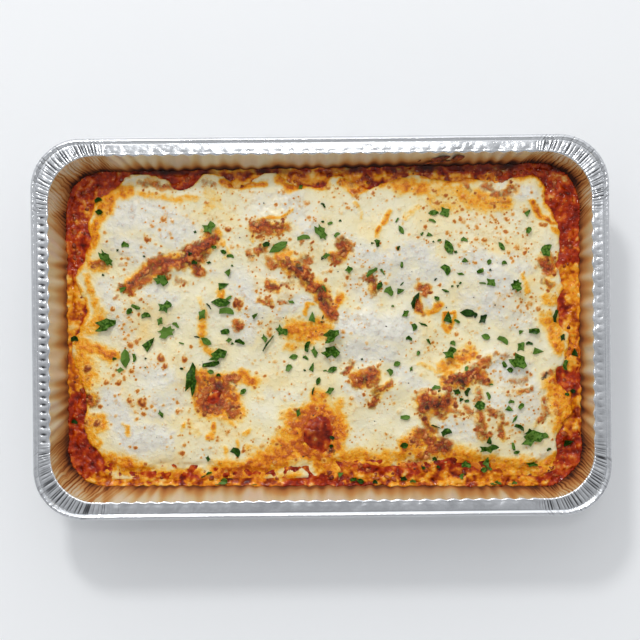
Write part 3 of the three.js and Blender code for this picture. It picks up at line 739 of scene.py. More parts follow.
RIDGES = [  # from, to, width, rise. A rise below 0 is a hollow.
    ((-110, 24), (-84, 34), 7, 1.6), ((-84, 34), (-63, 48), 8, 1.9),
    ((-22, 38), (-9, 30), 7, 1.7), ((-9, 30), (2, 8), 7, 1.8), ((-38, 58), (-22, 62), 12, 1.2),
    ((23, -27), (41, -36), 8, 1.4), ((59, -46), (78, -29), 11, 2),
    ((78, -29), (102, -16), 9, 1.5), ((58, 17), (66, 10), 8, 1.2),
    ((-60, 70), (-58, 12), 15, -1), ((-58, 12), (-60, -20), 14, -0.9),
    ((-4, -2), (-14, -16), 15, -1), ((70, -12), (80, 20), 15, -0.9),
    ((60, 72), (104, 64), 15, -0.8),
]


def on_food(column, row, *sizes):
    """Pixels of the camera's view, from its upper left, as millimetres on the food: a place,
    to the nearest half, and sizes there, to the nearest tenth."""
    right, up = (column - VIEW_PIXELS / 2) * PIXEL, (VIEW_PIXELS / 2 - row) * PIXEL
    x = right * math.cos(VIEW_TURN) - up * math.sin(VIEW_TURN) + VIEW_CENTRE[0] / MM
    y = right * math.sin(VIEW_TURN) + up * math.cos(VIEW_TURN) + VIEW_CENTRE[1] / MM
    return (round(2 * x) / 2, round(2 * y) / 2, *(round(size * PIXEL, 1) for size in sizes))


def marks_on_food(marks):
    """Marks given in pixels, turned into millimetres."""
    return [([on_food(*point) for point in line], round(2 * width * PIXEL) / 2, peak)
            for line, width, peak in marks]


# Marks on the cheese, in pixels: the points of a line, its width and its strength.
AMBER_OIL = marks_on_food([
    ([(128, 190), (112, 200), (100, 213), (93, 228), (91, 245)], 15, 0.85),
    ([(92, 204), (106, 208)], 16, 0.9),
    ([(138, 192), (160, 196), (180, 200), (196, 197)], 8, 0.65),
    ([(108, 188), (122, 187)], 8, 0.8), ([(78, 250), (83, 262)], 12, 0.75),
    ([(92, 266), (101, 267)], 14, 1), ([(84, 278), (90, 292), (97, 312)], 9, 0.7),
    ([(76, 331), (90, 326), (100, 318)], 15, 0.75),
    ([(76, 345), (96, 350), (112, 356)], 17, 0.9), ([(78, 362), (86, 372), (80, 386)], 24, 0.8),
    ([(74, 397), (80, 404)], 12, 0.8), ([(82, 420), (98, 424)], 18, 0.85),
    ([(88, 432), (98, 444)], 9, 0.7), ([(104, 462), (126, 466), (146, 474)], 20, 0.9),
    ([(100, 484), (150, 487), (200, 483), (250, 484)], 8, 0.9),
    ([(150, 476), (195, 477), (235, 476)], 11, 0.7),
    ([(222, 474), (245, 474), (268, 462), (292, 452)], 26, 1),
    ([(280, 446), (296, 430), (294, 418)], 24, 0.85),
    ([(338, 404), (336, 430), (346, 452)], 12, 0.65), ([(318, 398), (322, 412)], 18, 0.9),
    ([(332, 424), (336, 440), (330, 456)], 12, 0.95),
    ([(345, 454), (372, 460), (396, 457), (416, 446)], 15, 0.8),
    ([(318, 462), (350, 466), (385, 470)], 16, 0.95),
    ([(405, 446), (416, 440), (420, 456)], 18, 0.95),
    ([(440, 451), (470, 459), (500, 466), (540, 471)], 20, 0.85),
    ([(455, 470), (490, 478), (520, 480)], 18, 0.9), ([(544, 470), (556, 458)], 12, 0.9),
    ([(556, 386), (560, 402), (563, 424)], 28, 0.9),
    ([(546, 320), (553, 334), (560, 348)], 15, 0.85),
    ([(570, 352), (574, 372), (572, 380)], 12, 0.95), ([(562, 256), (571, 268)], 15, 0.9),
    ([(546, 300), (558, 302)], 12, 0.75), ([(550, 383), (562, 379), (576, 384)], 9, 1),
    ([(531, 202), (540, 214), (550, 221), (562, 221)], 7, 1), ([(552, 229), (558, 233)], 8, 0.8),
    ([(205, 190), (214, 200)], 14, 0.45), ([(206, 208), (222, 206)], 9, 0.5),
    ([(222, 182), (240, 188), (264, 183)], 8, 1),
    ([(276, 178), (288, 186), (306, 183), (322, 178)], 9, 1),
    ([(340, 182), (352, 189), (370, 185)], 9, 1),
    ([(384, 180), (402, 183), (426, 187)], 17, 0.85),
    ([(428, 192), (440, 206), (456, 207)], 12, 0.6),
    ([(462, 196), (482, 202), (502, 202)], 22, 0.8), ([(440, 190), (460, 192)], 14, 0.6),
    ([(376, 234), (381, 225)], 6, 0.85), ([(385, 221), (388, 212)], 6, 0.85),
    ([(356, 202), (362, 218)], 4, 0.5), ([(404, 218), (421, 206)], 4, 0.55),
    ([(201, 318), (203, 344), (210, 354)], 10, 0.75), ([(200, 300), (204, 318)], 7, 0.5),
    ([(219, 291), (220, 300)], 8, 0.85), ([(217, 229), (220, 240)], 7, 0.7),
    ([(226, 245), (225, 254)], 5, 0.5),
    ([(198, 380), (214, 388), (228, 398), (232, 413)], 22, 1),
    ([(226, 380), (242, 378), (254, 381)], 14, 0.95), ([(204, 402), (211, 410)], 14, 1),
    ([(214, 426), (212, 436), (207, 438)], 6, 0.85), ([(205, 410), (214, 418)], 12, 0.6),
    ([(247, 436), (250, 432)], 6, 0.6), ([(246, 449), (262, 449)], 6, 0.55),
    ([(224, 446), (226, 458)], 5, 0.6), ([(236, 440), (237, 446)], 5, 0.6),
    ([(294, 332), (308, 338), (320, 330)], 22, 0.9), ([(286, 348), (312, 344)], 13, 0.6),
    ([(305, 316), (306, 306), (313, 303)], 5, 0.8),
    ([(328, 316), (336, 305), (342, 296)], 9, 0.95), ([(322, 324), (330, 326)], 9, 0.9),
    ([(316, 284), (326, 300)], 14, 0.9), ([(282, 258), (296, 266)], 16, 0.85),
    ([(253, 226), (252, 242)], 5, 0.6),
    ([(256, 222), (270, 216), (284, 214), (292, 210)], 4, 0.75),
    ([(287, 253), (292, 254)], 8, 0.7),
    ([(442, 312), (452, 312), (450, 330), (442, 326), (442, 314)], 5, 0.85),
    ([(446, 366), (456, 358), (470, 351)], 14, 0.85), ([(448, 376), (452, 372)], 10, 0.8),
    ([(426, 312), (434, 308), (438, 302)], 6, 0.9), ([(524, 277), (526, 292)], 5, 0.7),
    ([(418, 364), (430, 366), (438, 372)], 5, 0.55), ([(128, 425), (127, 436)], 6, 0.7),
    ([(122, 424), (126, 428)], 5, 0.6), ([(192, 424), (196, 434)], 7, 0.4),
    ([(186, 424), (184, 432)], 5, 0.6), ([(128, 458), (150, 470)], 9, 0.55),
])
MEAT_CRUMBS = marks_on_food([
    ([(128, 284), (140, 277), (150, 272), (162, 264)], 12, 0.95),
    ([(162, 266), (174, 261), (186, 257), (199, 254)], 14, 1),
    ([(199, 254), (204, 246), (209, 238)], 13, 1), ([(196, 264), (200, 271)], 9, 1),
    ([(128, 286), (130, 295)], 6, 0.9), ([(178, 282), (186, 283)], 7, 0.6),
    ([(118, 296), (114, 301)], 4, 0.6), ([(257, 228), (268, 226), (281, 228)], 11, 0.95),
    ([(264, 234), (274, 233)], 9, 0.8), ([(258, 251), (264, 250)], 7, 0.8),
    ([(252, 256), (248, 252)], 5, 0.7), ([(269, 259), (274, 266)], 7, 0.7),
    ([(284, 264), (292, 270), (300, 272)], 10, 0.95), ([(300, 262), (306, 258)], 8, 0.7),
    ([(300, 272), (310, 282), (319, 293), (327, 305), (331, 316)], 10, 1),
    ([(341, 244), (346, 249), (342, 252)], 10, 0.9), ([(349, 245), (352, 250)], 6, 0.7),
    ([(333, 256), (336, 259)], 8, 0.9), ([(303, 245), (303, 240)], 4, 0.6),
    ([(312, 246), (313, 252)], 4, 0.6), ([(271, 283), (275, 288)], 8, 0.9),
    ([(281, 284), (292, 282)], 5, 0.6), ([(262, 298), (270, 301)], 6, 0.8),
    ([(278, 299), (290, 303)], 5, 0.6), ([(240, 300), (240, 308)], 6, 0.7),
    ([(238, 322), (240, 329)], 8, 0.8), ([(370, 283), (373, 291)], 8, 0.85),
    ([(360, 278), (364, 281)], 6, 0.6), ([(420, 287), (430, 290), (426, 294)], 7, 0.8),
    ([(419, 300), (420, 311)], 6, 0.95), ([(344, 373), (352, 366)], 6, 0.8),
    ([(348, 362), (353, 366)], 4, 0.6), ([(358, 380), (366, 377), (372, 376)], 12, 1),
    ([(377, 390), (391, 385)], 7, 0.85), ([(375, 404), (381, 395)], 6, 0.85),
    ([(422, 400), (434, 406), (446, 400)], 14, 0.95),
    ([(440, 396), (446, 408), (440, 416)], 8, 0.8),
    ([(422, 408), (426, 418), (431, 432)], 8, 0.85),
    ([(424, 438), (432, 446), (442, 448)], 13, 0.95),
    ([(410, 464), (422, 456), (428, 448)], 10, 0.8),
    ([(448, 382), (462, 380), (476, 374)], 11, 1),
    ([(474, 372), (480, 362), (487, 357)], 8, 0.8), ([(474, 380), (486, 380)], 7, 0.8),
    ([(494, 355), (498, 354)], 5, 0.6), ([(503, 357), (511, 356)], 5, 0.5),
    ([(447, 409), (460, 412)], 7, 0.65), ([(466, 404), (470, 412)], 7, 0.65),
    ([(476, 390), (480, 400)], 7, 0.7), ([(478, 412), (480, 424), (485, 434)], 8, 0.8),
    ([(489, 411), (501, 417)], 7, 0.75), ([(500, 425), (502, 437)], 7, 0.8),
    ([(504, 424), (507, 424)], 4, 0.7), ([(517, 392), (529, 389)], 6, 0.75),
    ([(512, 381), (524, 379)], 7, 0.6), ([(543, 400), (545, 413), (538, 423)], 6, 0.7),
    ([(506, 396), (507, 399)], 5, 0.5), ([(545, 262), (550, 268)], 13, 0.9),
    ([(543, 281), (551, 286)], 9, 0.8), ([(501, 191), (515, 189)], 7, 0.75),
    ([(488, 187), (493, 192)], 9, 0.7), ([(468, 186), (471, 191)], 6, 0.7),
    ([(486, 203), (508, 202)], 5, 0.5), ([(80, 396), (88, 398)], 13, 1),
    ([(94, 264), (102, 266)], 10, 0.7), ([(140, 182), (160, 188), (172, 186)], 7, 0.7),
    ([(203, 182), (212, 184)], 9, 0.6), ([(546, 376), (553, 372)], 6, 0.7),
    ([(116, 268), (120, 264)], 5, 0.4), ([(200, 384), (214, 396), (222, 388)], 9, 0.6),
]) + [  # round the browned island, in millimetres
    ([(-63, -42), (-60, -34)], 9, 1), ([(-57, -36), (-52, -30)], 6, 0.8),
    ([(-54, -43), (-50, -51)], 5, 0.7),
]
TOASTED = marks_on_food([
    ([(150, 270), (200, 255)], 34, 0.5), ([(120, 290), (134, 300), (126, 345)], 30, 0.65),
    ([(130, 345), (138, 342)], 14, 0.9), ([(104, 380), (132, 372), (160, 362)], 26, 0.65),
    ([(128, 400), (146, 404)], 22, 0.7), ([(160, 360), (184, 360)], 22, 0.6),
    ([(186, 400), (220, 425), (200, 440)], 40, 0.5), ([(182, 440), (184, 455)], 20, 0.4),
    ([(150, 222), (166, 222)], 24, 0.5), ([(142, 240), (148, 240)], 20, 0.5),
    ([(120, 255), (130, 262)], 18, 0.5), ([(255, 228), (285, 262), (262, 262)], 40, 0.7),
    ([(290, 255), (312, 245)], 26, 0.5), ([(262, 285), (290, 290), (276, 302)], 28, 0.75),
    ([(238, 300), (250, 310)], 20, 0.5), ([(250, 328), (285, 328)], 18, 0.5),
    ([(292, 200), (310, 216)], 24, 0.5), ([(328, 190), (372, 200)], 34, 0.45),
    ([(384, 190), (420, 196)], 24, 0.45), ([(440, 200), (500, 215)], 46, 0.75),
    ([(460, 235), (500, 240), (530, 245)], 36, 0.6), ([(506, 245), (520, 250)], 26, 0.7),
    ([(460, 250), (480, 262)], 30, 0.4), ([(420, 235), (440, 250)], 22, 0.35),
    ([(350, 255), (372, 270)], 34, 0.45), ([(345, 248), (356, 290), (376, 290)], 30, 0.5),
    ([(290, 330), (330, 345)], 36, 0.5), ([(340, 300), (362, 320)], 28, 0.4),
    ([(500, 300), (545, 305)], 34, 0.6), ([(520, 320), (535, 300)], 20, 0.5),
    ([(420, 345), (460, 345)], 40, 0.5), ([(450, 360), (470, 370)], 20, 0.5),
    ([(345, 368), (385, 395)], 26, 0.7), ([(350, 395), (380, 405)], 26, 0.5),
    ([(420, 405), (455, 410)], 34, 0.75), ([(455, 385), (490, 375)], 34, 0.7),
    ([(480, 415), (505, 430)], 34, 0.75), ([(505, 390), (545, 410)], 36, 0.6),
    ([(230, 420), (262, 450)], 46, 0.45), ([(250, 450), (290, 430)], 30, 0.55),
    ([(255, 395), (300, 385)], 36, 0.35), ([(340, 420), (360, 440)], 24, 0.45),
    ([(370, 450), (420, 440)], 24, 0.4), ([(425, 460), (445, 480)], 26, 0.5),
    ([(480, 455), (530, 460)], 24, 0.4), ([(84, 422), (98, 424)], 16, 0.8),
    ([(150, 195), (200, 215)], 30, 0.3), ([(200, 190), (250, 200)], 30, 0.45),
    ([(200, 215), (240, 240)], 36, 0.4),
])
PALE_MILK = marks_on_food([
    ([(125, 215), (150, 215), (180, 232)], 52, 0.9), ([(120, 245), (150, 258)], 34, 0.8),
    ([(105, 285), (112, 306)], 22, 0.8), ([(150, 290), (172, 298)], 26, 0.75),
    ([(122, 320), (130, 345)], 26, 0.7), ([(140, 370), (165, 380)], 34, 0.8),
    ([(110, 400), (130, 440), (160, 440)], 40, 0.95), ([(150, 410), (175, 400)], 34, 0.7),
    ([(195, 265), (215, 272)], 16, 0.5), ([(290, 200), (305, 225)], 34, 0.85),
    ([(262, 205), (280, 200)], 26, 0.6), ([(240, 285), (255, 300), (245, 330)], 40, 0.85),
    ([(280, 305), (300, 300)], 32, 0.8), ([(266, 270), (282, 278)], 20, 0.6),
    ([(350, 250), (385, 262), (400, 256)], 36, 0.85), ([(420, 250), (430, 268)], 34, 0.9),
    ([(355, 285), (370, 300)], 26, 0.75), ([(345, 325), (372, 325), (400, 330)], 38, 1),
    ([(352, 350), (385, 352)], 34, 0.85), ([(400, 280), (440, 275)], 30, 0.7),
    ([(480, 262), (500, 282), (492, 305)], 44, 0.95), ([(470, 300), (520, 320)], 36, 0.7),
    ([(510, 260), (524, 270)], 26, 0.7), ([(495, 365), (520, 380), (530, 405)], 44, 0.9),
    ([(400, 372), (425, 390)], 24, 0.75), ([(350, 385), (362, 395)], 22, 0.8),
    ([(445, 425), (470, 430)], 34, 0.75), ([(495, 400), (515, 420)], 30, 0.7),
    ([(505, 190), (525, 192)], 26, 0.8), ([(428, 298), (430, 304)], 10, 0.8),
    ([(270, 395), (290, 398)], 20, 0.5), ([(105, 412), (110, 425)], 16, 0.8),
    ([(125, 180), (145, 180)], 14, 0.6), ([(350, 210), (400, 225)], 30, 0.25),
])
CHARRED = marks_on_food([
    ([(129, 282), (133, 283)], 6, 0.9), ([(297, 266), (301, 270)], 7, 1),
    ([(251, 256), (254, 257)], 4, 0.8), ([(321, 295), (322, 299)], 5, 0.9),
    ([(324, 302), (329, 312)], 4, 0.6), ([(196, 250), (192, 256)], 6, 0.6),
    ([(190, 266), (194, 268)], 5, 0.7), ([(426, 407), (428, 408)], 6, 1),
    ([(435, 405), (438, 405)], 6, 1), ([(424, 414), (430, 430)], 4, 0.7),
    ([(458, 381), (464, 384)], 7, 1), ([(451, 377), (454, 378)], 5, 0.7),
    ([(474, 374), (476, 373)], 4, 0.6), ([(360, 380), (370, 378)], 6, 0.6),
    ([(421, 288), (426, 286)], 5, 0.7), ([(204, 380), (208, 386)], 5, 0.8),
    ([(216, 391), (218, 393)], 5, 0.8), ([(200, 365), (203, 360)], 5, 0.6),
    ([(542, 378), (546, 374)], 6, 1), ([(320, 446), (332, 450)], 9, 0.9),
    ([(306, 455), (312, 457)], 4, 0.6), ([(274, 284), (275, 287)], 4, 0.6),
    ([(138, 401), (143, 404)], 5, 0.5), ([(100, 206), (98, 212)], 4, 0.3),
    ([(261, 482), (264, 484)], 5, 0.8),
]) + [  # on the browned island, in millimetres
    ([(-64.5, -38), (-63, -40)], 2.5, 0.9), ([(-58, -33), (-57, -35)], 2, 0.8),
]
CARAMEL_SPOTS = [  # column and row, radius, strength
    (161, 358, 5, 1), (165, 366, 3.5, 0.9), (184, 360, 4, 0.9), (131, 371, 3.5, 0.8),
    (118, 383, 4, 0.9), (106, 382, 4, 0.8), (129, 401, 4, 0.9), (142, 403, 6, 1),
    (138, 391, 3.2, 0.8), (84, 422, 4.5, 0.9), (97, 424, 5.5, 1), (99, 406, 3, 0.8),
    (87, 369, 6, 1), (147, 239, 4, 1), (105, 232, 3, 0.6), (164, 219, 4, 0.7),
    (152, 226, 2.6, 0.6), (160, 230, 2.6, 0.6), (142, 247, 2.6, 0.6), (128, 259, 2.6, 0.6),
    (172, 237, 2.2, 0.6), (246, 201, 2.5, 0.5), (307, 203, 4, 0.6), (309, 218, 3, 0.6),
    (228, 229, 4, 1), (328, 187, 3.5, 0.7), (332, 207, 2.5, 0.5), (348, 208, 2.6, 0.6),
    (357, 196, 3.4, 0.7), (373, 192, 3, 0.7), (396, 191, 2.6, 0.6), (386, 200, 2.2, 0.5),
    (414, 195, 2.6, 0.6), (434, 190, 3.2, 0.8), (438, 203, 3.5, 0.8), (446, 196, 3, 0.8),
    (425, 227, 3, 0.8), (409, 235, 2.6, 0.5), (397, 249, 3, 0.7), (462, 209, 3, 0.7),
    (477, 214, 2.6, 0.6), (495, 220, 3, 0.6), (477, 227, 3, 0.6), (507, 219, 3.2, 0.8),
    (513, 214, 2.6, 0.6), (506, 231, 3, 0.8), (495, 229, 2.6, 0.6), (475, 239, 3.2, 0.7),
    (484, 240, 3.6, 0.8), (467, 226, 2.6, 0.6), (447, 234, 2.6, 0.6), (459, 246, 2.6, 0.6),
    (475, 263, 2.8, 0.6), (464, 252, 2.2, 0.5), (506, 243, 3.4, 0.6), (516, 247, 4, 0.6),
    (508, 252, 3.4, 0.6), (512, 262, 2.8, 0.6), (542, 196, 3, 0.6), (504, 199, 2.6, 0.8),
    (240, 304, 4, 0.9), (240, 325, 4.5, 0.9), (273, 286, 4.5, 0.9), (256, 292, 2.6, 0.7),
    (259, 324, 2.4, 0.6), (270, 328, 2.6, 0.7), (266, 299, 3, 0.8), (296, 253, 3.4, 0.7),
    (290, 240, 2.6, 0.6), (359, 308, 2.6, 0.5), (348, 316, 2.4, 0.4), (381, 305, 2.2, 0.4),
    (367, 343, 2.4, 0.4), (351, 334, 2.4, 0.4), (537, 309, 3.6, 0.7), (528, 303, 2.6, 0.5),
    (518, 306, 2.4, 0.5), (521, 311, 2.4, 0.5), (526, 322, 2.4, 0.4), (532, 299, 2.4, 0.4),
    (506, 318, 2.4, 0.4), (479, 308, 2.4, 0.4), (452, 301, 2.4, 0.4), (469, 343, 3, 0.7),
    (463, 351, 3, 0.7), (474, 348, 2.6, 0.5), (477, 332, 2.2, 0.4), (497, 353, 3.2, 0.6),
    (488, 358, 3.4, 0.6), (493, 371, 2.6, 0.5), (425, 365, 3.2, 0.5), (440, 370, 2.4, 0.5),
    (421, 375, 2.4, 0.4), (275, 362, 3.4, 0.5), (252, 364, 2.6, 0.4), (271, 354, 2.4, 0.4),
    (258, 399, 2.6, 0.5), (258, 392, 2.4, 0.4), (285, 400, 3, 0.4), (171, 437, 2.6, 0.5),
    (184, 445, 2.8, 0.6), (180, 454, 2.6, 0.5), (189, 424, 3.4, 0.6), (181, 412, 2.8, 0.5),
    (163, 406, 2.4, 0.5), (155, 410, 2.2, 0.4), (143, 414, 3, 0.8), (135, 412, 3, 0.5),
    (136, 420, 2.8, 0.6), (110, 425, 2.4, 0.5), (130, 447, 2.4, 0.6), (135, 447, 2.4, 0.8),
    (114, 396, 2.6, 0.6), (228, 431, 2.6, 0.6), (222, 424, 2.6, 0.5), (210, 448, 2.6, 0.5),
    (217, 440, 2.4, 0.5), (277, 429, 3, 0.5), (262, 447, 3, 0.5), (346, 381, 2.6, 0.5),
    (372, 398, 2.6, 0.5), (350, 404, 2.8, 0.6), (394, 403, 2.4, 0.5), (345, 320, 2.2, 0.3),
    (112, 309, 3.4, 0.8), (117, 317, 2.6, 0.6), (130, 319, 2.6, 0.5), (124, 325, 2.6, 0.6),
    (128, 335, 2.6, 0.6), (130, 346, 3.6, 0.8), (136, 342, 3, 0.7), (140, 288, 2.6, 0.8),
    (149, 296, 2.4, 0.5), (540, 352, 2, 0.3), (470, 445, 2.6, 0.4), (461, 432, 2.2, 0.4),
    (455, 420, 2.2, 0.4), (502, 300, 2.2, 0.4), (548, 331, 3, 0.5), (536, 320, 2.6, 0.5),
    (500, 378, 2.6, 0.5), (524, 365, 2, 0.3), (530, 376, 2.4, 0.4), (392, 213, 2, 0.3),
    (342, 213, 2.4, 0.4), (323, 273, 2.4, 0.4), (345, 285, 2.4, 0.5), (193, 223, 2.6, 0.5),
    (196, 244, 2.4, 0.4), (181, 204, 2.2, 0.4), (186, 216, 2.2, 0.4),
]


def ragged(x, y, reach, size, seed):
    """Places moved about by up to `reach`, which frays what is drawn with them."""
    return [place + reach * uneven(x, y, size, number)
            + 0.35 * reach * uneven(x, y, size / 3, number + 1)
            for place, number in ((x, seed), (y, seed + 2))]


def cover_inside(x, y):
    """How far inside the blanket's edge a point is, below 0 outside it."""
    across = np.abs(x) - COVER_HALF_X + COVER_CORNER
    along = np.abs(y) - COVER_HALF_Y + COVER_CORNER
    outside = np.hypot(np.maximum(across, 0), np.maximum(along, 0))
    inside = COVER_CORNER - outside - np.minimum(np.maximum(across, along), 0)
    return inside + sum(reach * bell(np.hypot(x - at_x, y - at_y) / width)
                        for at_x, at_y, reach, width in COVER_LOBES)


def cheese_parts(x, y):
    """The cheese's top, and the strength of each kind of mark on it."""
    # Oil lies in its own patches, round the islands and round the meat.
    frayed_x, frayed_y = ragged(x, y, 1.8, 8, 41)
    inside = cover_inside(*ragged(x, y, 1.5, 7, 45))
    oil = 0.88 * strokes(frayed_x, frayed_y, AMBER_OIL, 1.6)
    for at_x, at_y, radius, _ in ISLANDS:
        away = np.hypot(frayed_x - at_x, frayed_y - at_y) + 1.4 * uneven(x, y, 3.4, 46)
        inside = np.minimum(inside, away - 0.85 * radius)
        oil = np.maximum(oil, 0.95 * smooth(2.3 - away / max(radius, 7)))
    patches = np.clip(0.75 + 0.9 * uneven(x, y, 4.5, 61) + 0.4 * uneven(x, y, 1.8, 62), 0, 1.2)
    halo = strokes(frayed_x, frayed_y, MEAT_CRUMBS, 2.6)
    oil = np.maximum(oil, np.minimum(halo ** 2, 0.85))
    meat = np.maximum(0.75 * halo * patches * smooth(2.2 * halo - 0.6),
                      0.8 * strokes(frayed_x, frayed_y, MEAT_CRUMBS, 1.15))
    toast = strokes(frayed_x, frayed_y, TOASTED, 1.2)
    pale = strokes(frayed_x, frayed_y, PALE_MILK, 1.2)
    char = strokes(*ragged(x, y, 0.8, 3, 49), CHARRED, 1.25)

    # The blanket follows the filling, is ridged, lumpy and curdled, and thins to its edge.
    top = food_level(x) + 0.7 - 0.9 * (1 - np.clip(inside / 11, 0, 1)) ** 2 + swell(x, y)
    top = top + sum(rise * bell(2 * distance_to(x, y, start, end) / width)
                    for start, end, width, rise in RIDGES)
    top = top + unevenness(x, y) + meat * (0.7 * crumbs(x, y, 3.6, 51) - 0.3)
    top = top + (0.1 + 0.12 * pale) * uneven(x, y, 2.6, 52) + 0.5 * pale * uneven(x, y, 5, 53)
    under = sauce_top(x, y)
    lip = 0.5 * smooth(inside / 1.2)
    top = np.where(inside > 0, np.maximum(top, under + lip), top)
    top = top - 2.4 * smooth(-inside / 1.5) - 3 * smooth(-inside / 5)

    # Along the near wall it mingles with the sauce.
    near_side = smooth((-y - 72) / 6) * smooth((8 - inside) / 4) * smooth((inside + 6) / 3)
    mingled = under + 0.05 + 0.35 * uneven(x, y, 2.8, 63) - 2.5 * smooth((-y - 86) / 2.5)
    top = top * (1 - near_side) + mingled * near_side
    return top, dict(meat=meat, toast=toast, oil=oil, pale=pale, char=char, inside=inside,
                     halo=halo)


def strewn(random, half_x, half_y, count):
    """Random places on a rectangle round the middle."""
    return np.stack([random.uniform(-half_x, half_x, count),
                     random.uniform(-half_y, half_y, count)], axis=1)


# One blister for each place where the cheese browned, and more of them where it toasted.
random = np.random.default_rng(19)
tries = strewn(random, 136, 82, BLISTER_TRIES)
_, here = cheese_parts(*tries.T)
chance = (0.5 * here["toast"] ** 1.3 + 0.45 * here["halo"] + 0.08) * (1 - 0.5 * here["pale"])
chosen = (random.uniform(0, 1, len(tries)) < chance) & (here["inside"] > 1)
strongest = 0.7 + 0.5 * here["halo"][chosen]
blisters = [(x, y, radius, strength) for (x, y), radius, strength in zip(
    tries[chosen], random.gamma(2.6, 0.18, chosen.sum()) + 0.4,
    random.uniform(0.2, 0.95, chosen.sum()) * strongest)]
for column, row, radius, strength in CARAMEL_SPOTS:
    x, y, radius = on_food(column, row, radius)
    blisters.append((x, y, 0.85 * radius, 0.8 * strength))


def blister_parts(x, y):
    """Height and browning of the blisters. `x` and `y` are even grids. A large blister has
    a paler patch off its middle, a painted highlight."""
    height, brown = np.zeros_like(x), np.zeros_like(x)
    first_x, first_y = x[0, 0], y[0, 0]
    step_x, step_y = x[0, 1] - first_x, y[1, 0] - first_y
    for at_x, at_y, radius, strength in blisters:
        reach = 2.2 * radius
        rows, columns = (
            slice(max(int((at - reach - first) / step), 0), int((at + reach - first) / step) + 2)
            for at, first, step in ((at_y, first_y, step_y), (at_x, first_x, step_x)))
        near_x, near_y = ragged(x[rows, columns], y[rows, columns], 0.3 + 0.2 * radius,
                                1.7 + 0.6 * radius, 57)
        away = np.hypot(near_x - at_x, near_y - at_y) / radius
        # A paler patch off each large blister's middle: a painted highlight.
        painted_glint = (radius > 1.5) * bell(np.hypot(near_x - at_x - 0.2 * radius,
                                              near_y - at_y - 0.4 * radius) / (0.36 * radius))
        height[rows, columns] = np.maximum(height[rows, columns], 0.3 * radius * bell(away / 0.8))
        brown[rows, columns] = np.maximum(brown[rows, columns],
                                          strength * smooth(1.5 - 1.1 * away) * (1 - 0.6 * painted_glint))
    return height, brown


x, y = np.meshgrid(np.linspace(-GRID_HALF_X, GRID_HALF_X, GRID_COLUMNS),
                   np.linspace(-GRID_HALF_Y, GRID_HALF_Y, GRID_ROWS))
top, marks = cheese_parts(x, y)
rise, brown = blister_parts(x, y)
top = top + rise
marks["brown"] = brown
border = np.zeros_like(x, bool)
border[[0, -1]] = border[:, [0, -1]] = True
top = np.where(border, GRID_UNDERSIDE, top)
cheese = grid_of("cheese_blanket", np.stack([x, y, top], axis=-1))
for name, values in marks.items():
    paint(cheese, name, values)

# The grid's corners would reach through the tray's round corners, so they are cut off.
corner_x = np.maximum(np.abs(x) - GRID_HALF_X + GRID_CORNER, 0)
corner_y = np.maximum(np.abs(y) - GRID_HALF_Y + GRID_CORNER, 0)
cut_off = (np.hypot(corner_x, corner_y) > GRID_CORNER).ravel()
bpy.ops.object.mode_set(mode="EDIT")
bpy.ops.mesh.select_mode(type="VERT")
bpy.ops.mesh.select_all(action="DESELECT")
bpy.ops.object.mode_set(mode="OBJECT")
cheese.data.vertices.foreach_set("select", cut_off)
bpy.ops.object.mode_set(mode="EDIT")
bpy.ops.mesh.delete(type="VERT")
bpy.ops.object.mode_set(mode="OBJECT")
close_below()

# Baked mozzarella: a soft satin cream that light enters a little, glassy where oil lies on
# it. Browned milk sugar gives it orange to brown blisters; the larger ones carry a painted
# highlight, a paler patch off their middle.
melt, melt_shader = new_material(
    "baked_mozzarella", IOR=1.4, Subsurface_Weight=0.12, Subsurface_Scale=2 * MM)
melt_shader.inputs["Subsurface Radius"].default_value = (1, 0.7, 0.35)
place = add_node(melt, "ShaderNodeTexCoord", output="Object")
meat, toast, oil, pale, char, inside, halo, brown = (
    add_node(melt, "ShaderNodeAttribute", output="Fac", attribute_name=name) for name in marks)
clouds, curds, pores = (
    add_node(melt, "ShaderNodeTexNoise", {
        "Vector": place, "Scale": scale_of(size), "Detail": detail, "Roughness": rough})
    for size, detail, rough in ((18, 3, 0.5), (3.4, 4, 0.6), (1.1, 3, 0.5)))
freckles = add_node(melt, "ShaderNodeTexVoronoi", {"Vector": place, "Scale": scale_of(2.8)})
curd, pore = (add_node(melt, "ShaderNodeMath", {0: pattern, 1: 0.5}, operation="SUBTRACT")
              for pattern in (curds, pores))

# What lies on the cheese, and how much of it: a mark's own strength, frayed by a pattern.
amounts = {}
for kind, mark, pattern, depth in (
        ("dry", pale, curd, 1.2), ("veil", pale, curd, 2.4), ("stain", toast, curd, 2),
        ("oil", oil, curd, 0.5), ("edge", inside, curd, -6), ("blister", brown, pore, 0.35),
        ("meat", meat, curd, 1.5), ("char", char, pore, 1.5)):
    amounts[kind] = add_node(melt, "ShaderNodeMath", {0: pattern, 1: depth, 2: mark},
                             operation="MULTIPLY_ADD")
pooled = add_node(melt, "ShaderNodeMath", {0: curd, 1: oil}, operation="MULTIPLY")
amounts["oil"] = add_node(melt, "ShaderNodeMath", {0: pooled, 1: 1.1, 2: amounts["oil"]},
                          operation="MULTIPLY_ADD")
freckle, stained, unoiled, broken = (
    add_node(melt, "ShaderNodeMapRange", {
        "Value": value, "From Min": start, "From Max": full, "To Min": low, "To Max": high})
    for value, start, full, low, high in (
        (freckles, 0.34, 0.13, 0, 1), (amounts["stain"], -0.2, 0.7, 0, 0.62),
        (oil, 0.3, 0.8, 1, 0.3), (clouds, 0.4, 0.58, 0.15, 0.9)))
for limit in (stained, unoiled):
    freckle = add_node(melt, "ShaderNodeMath", {0: freckle, 1: limit}, operation="MULTIPLY")
amounts["blister"] = add_node(melt, "ShaderNodeMath", {0: freckle, 1: amounts["blister"]},
                              operation="MAXIMUM")
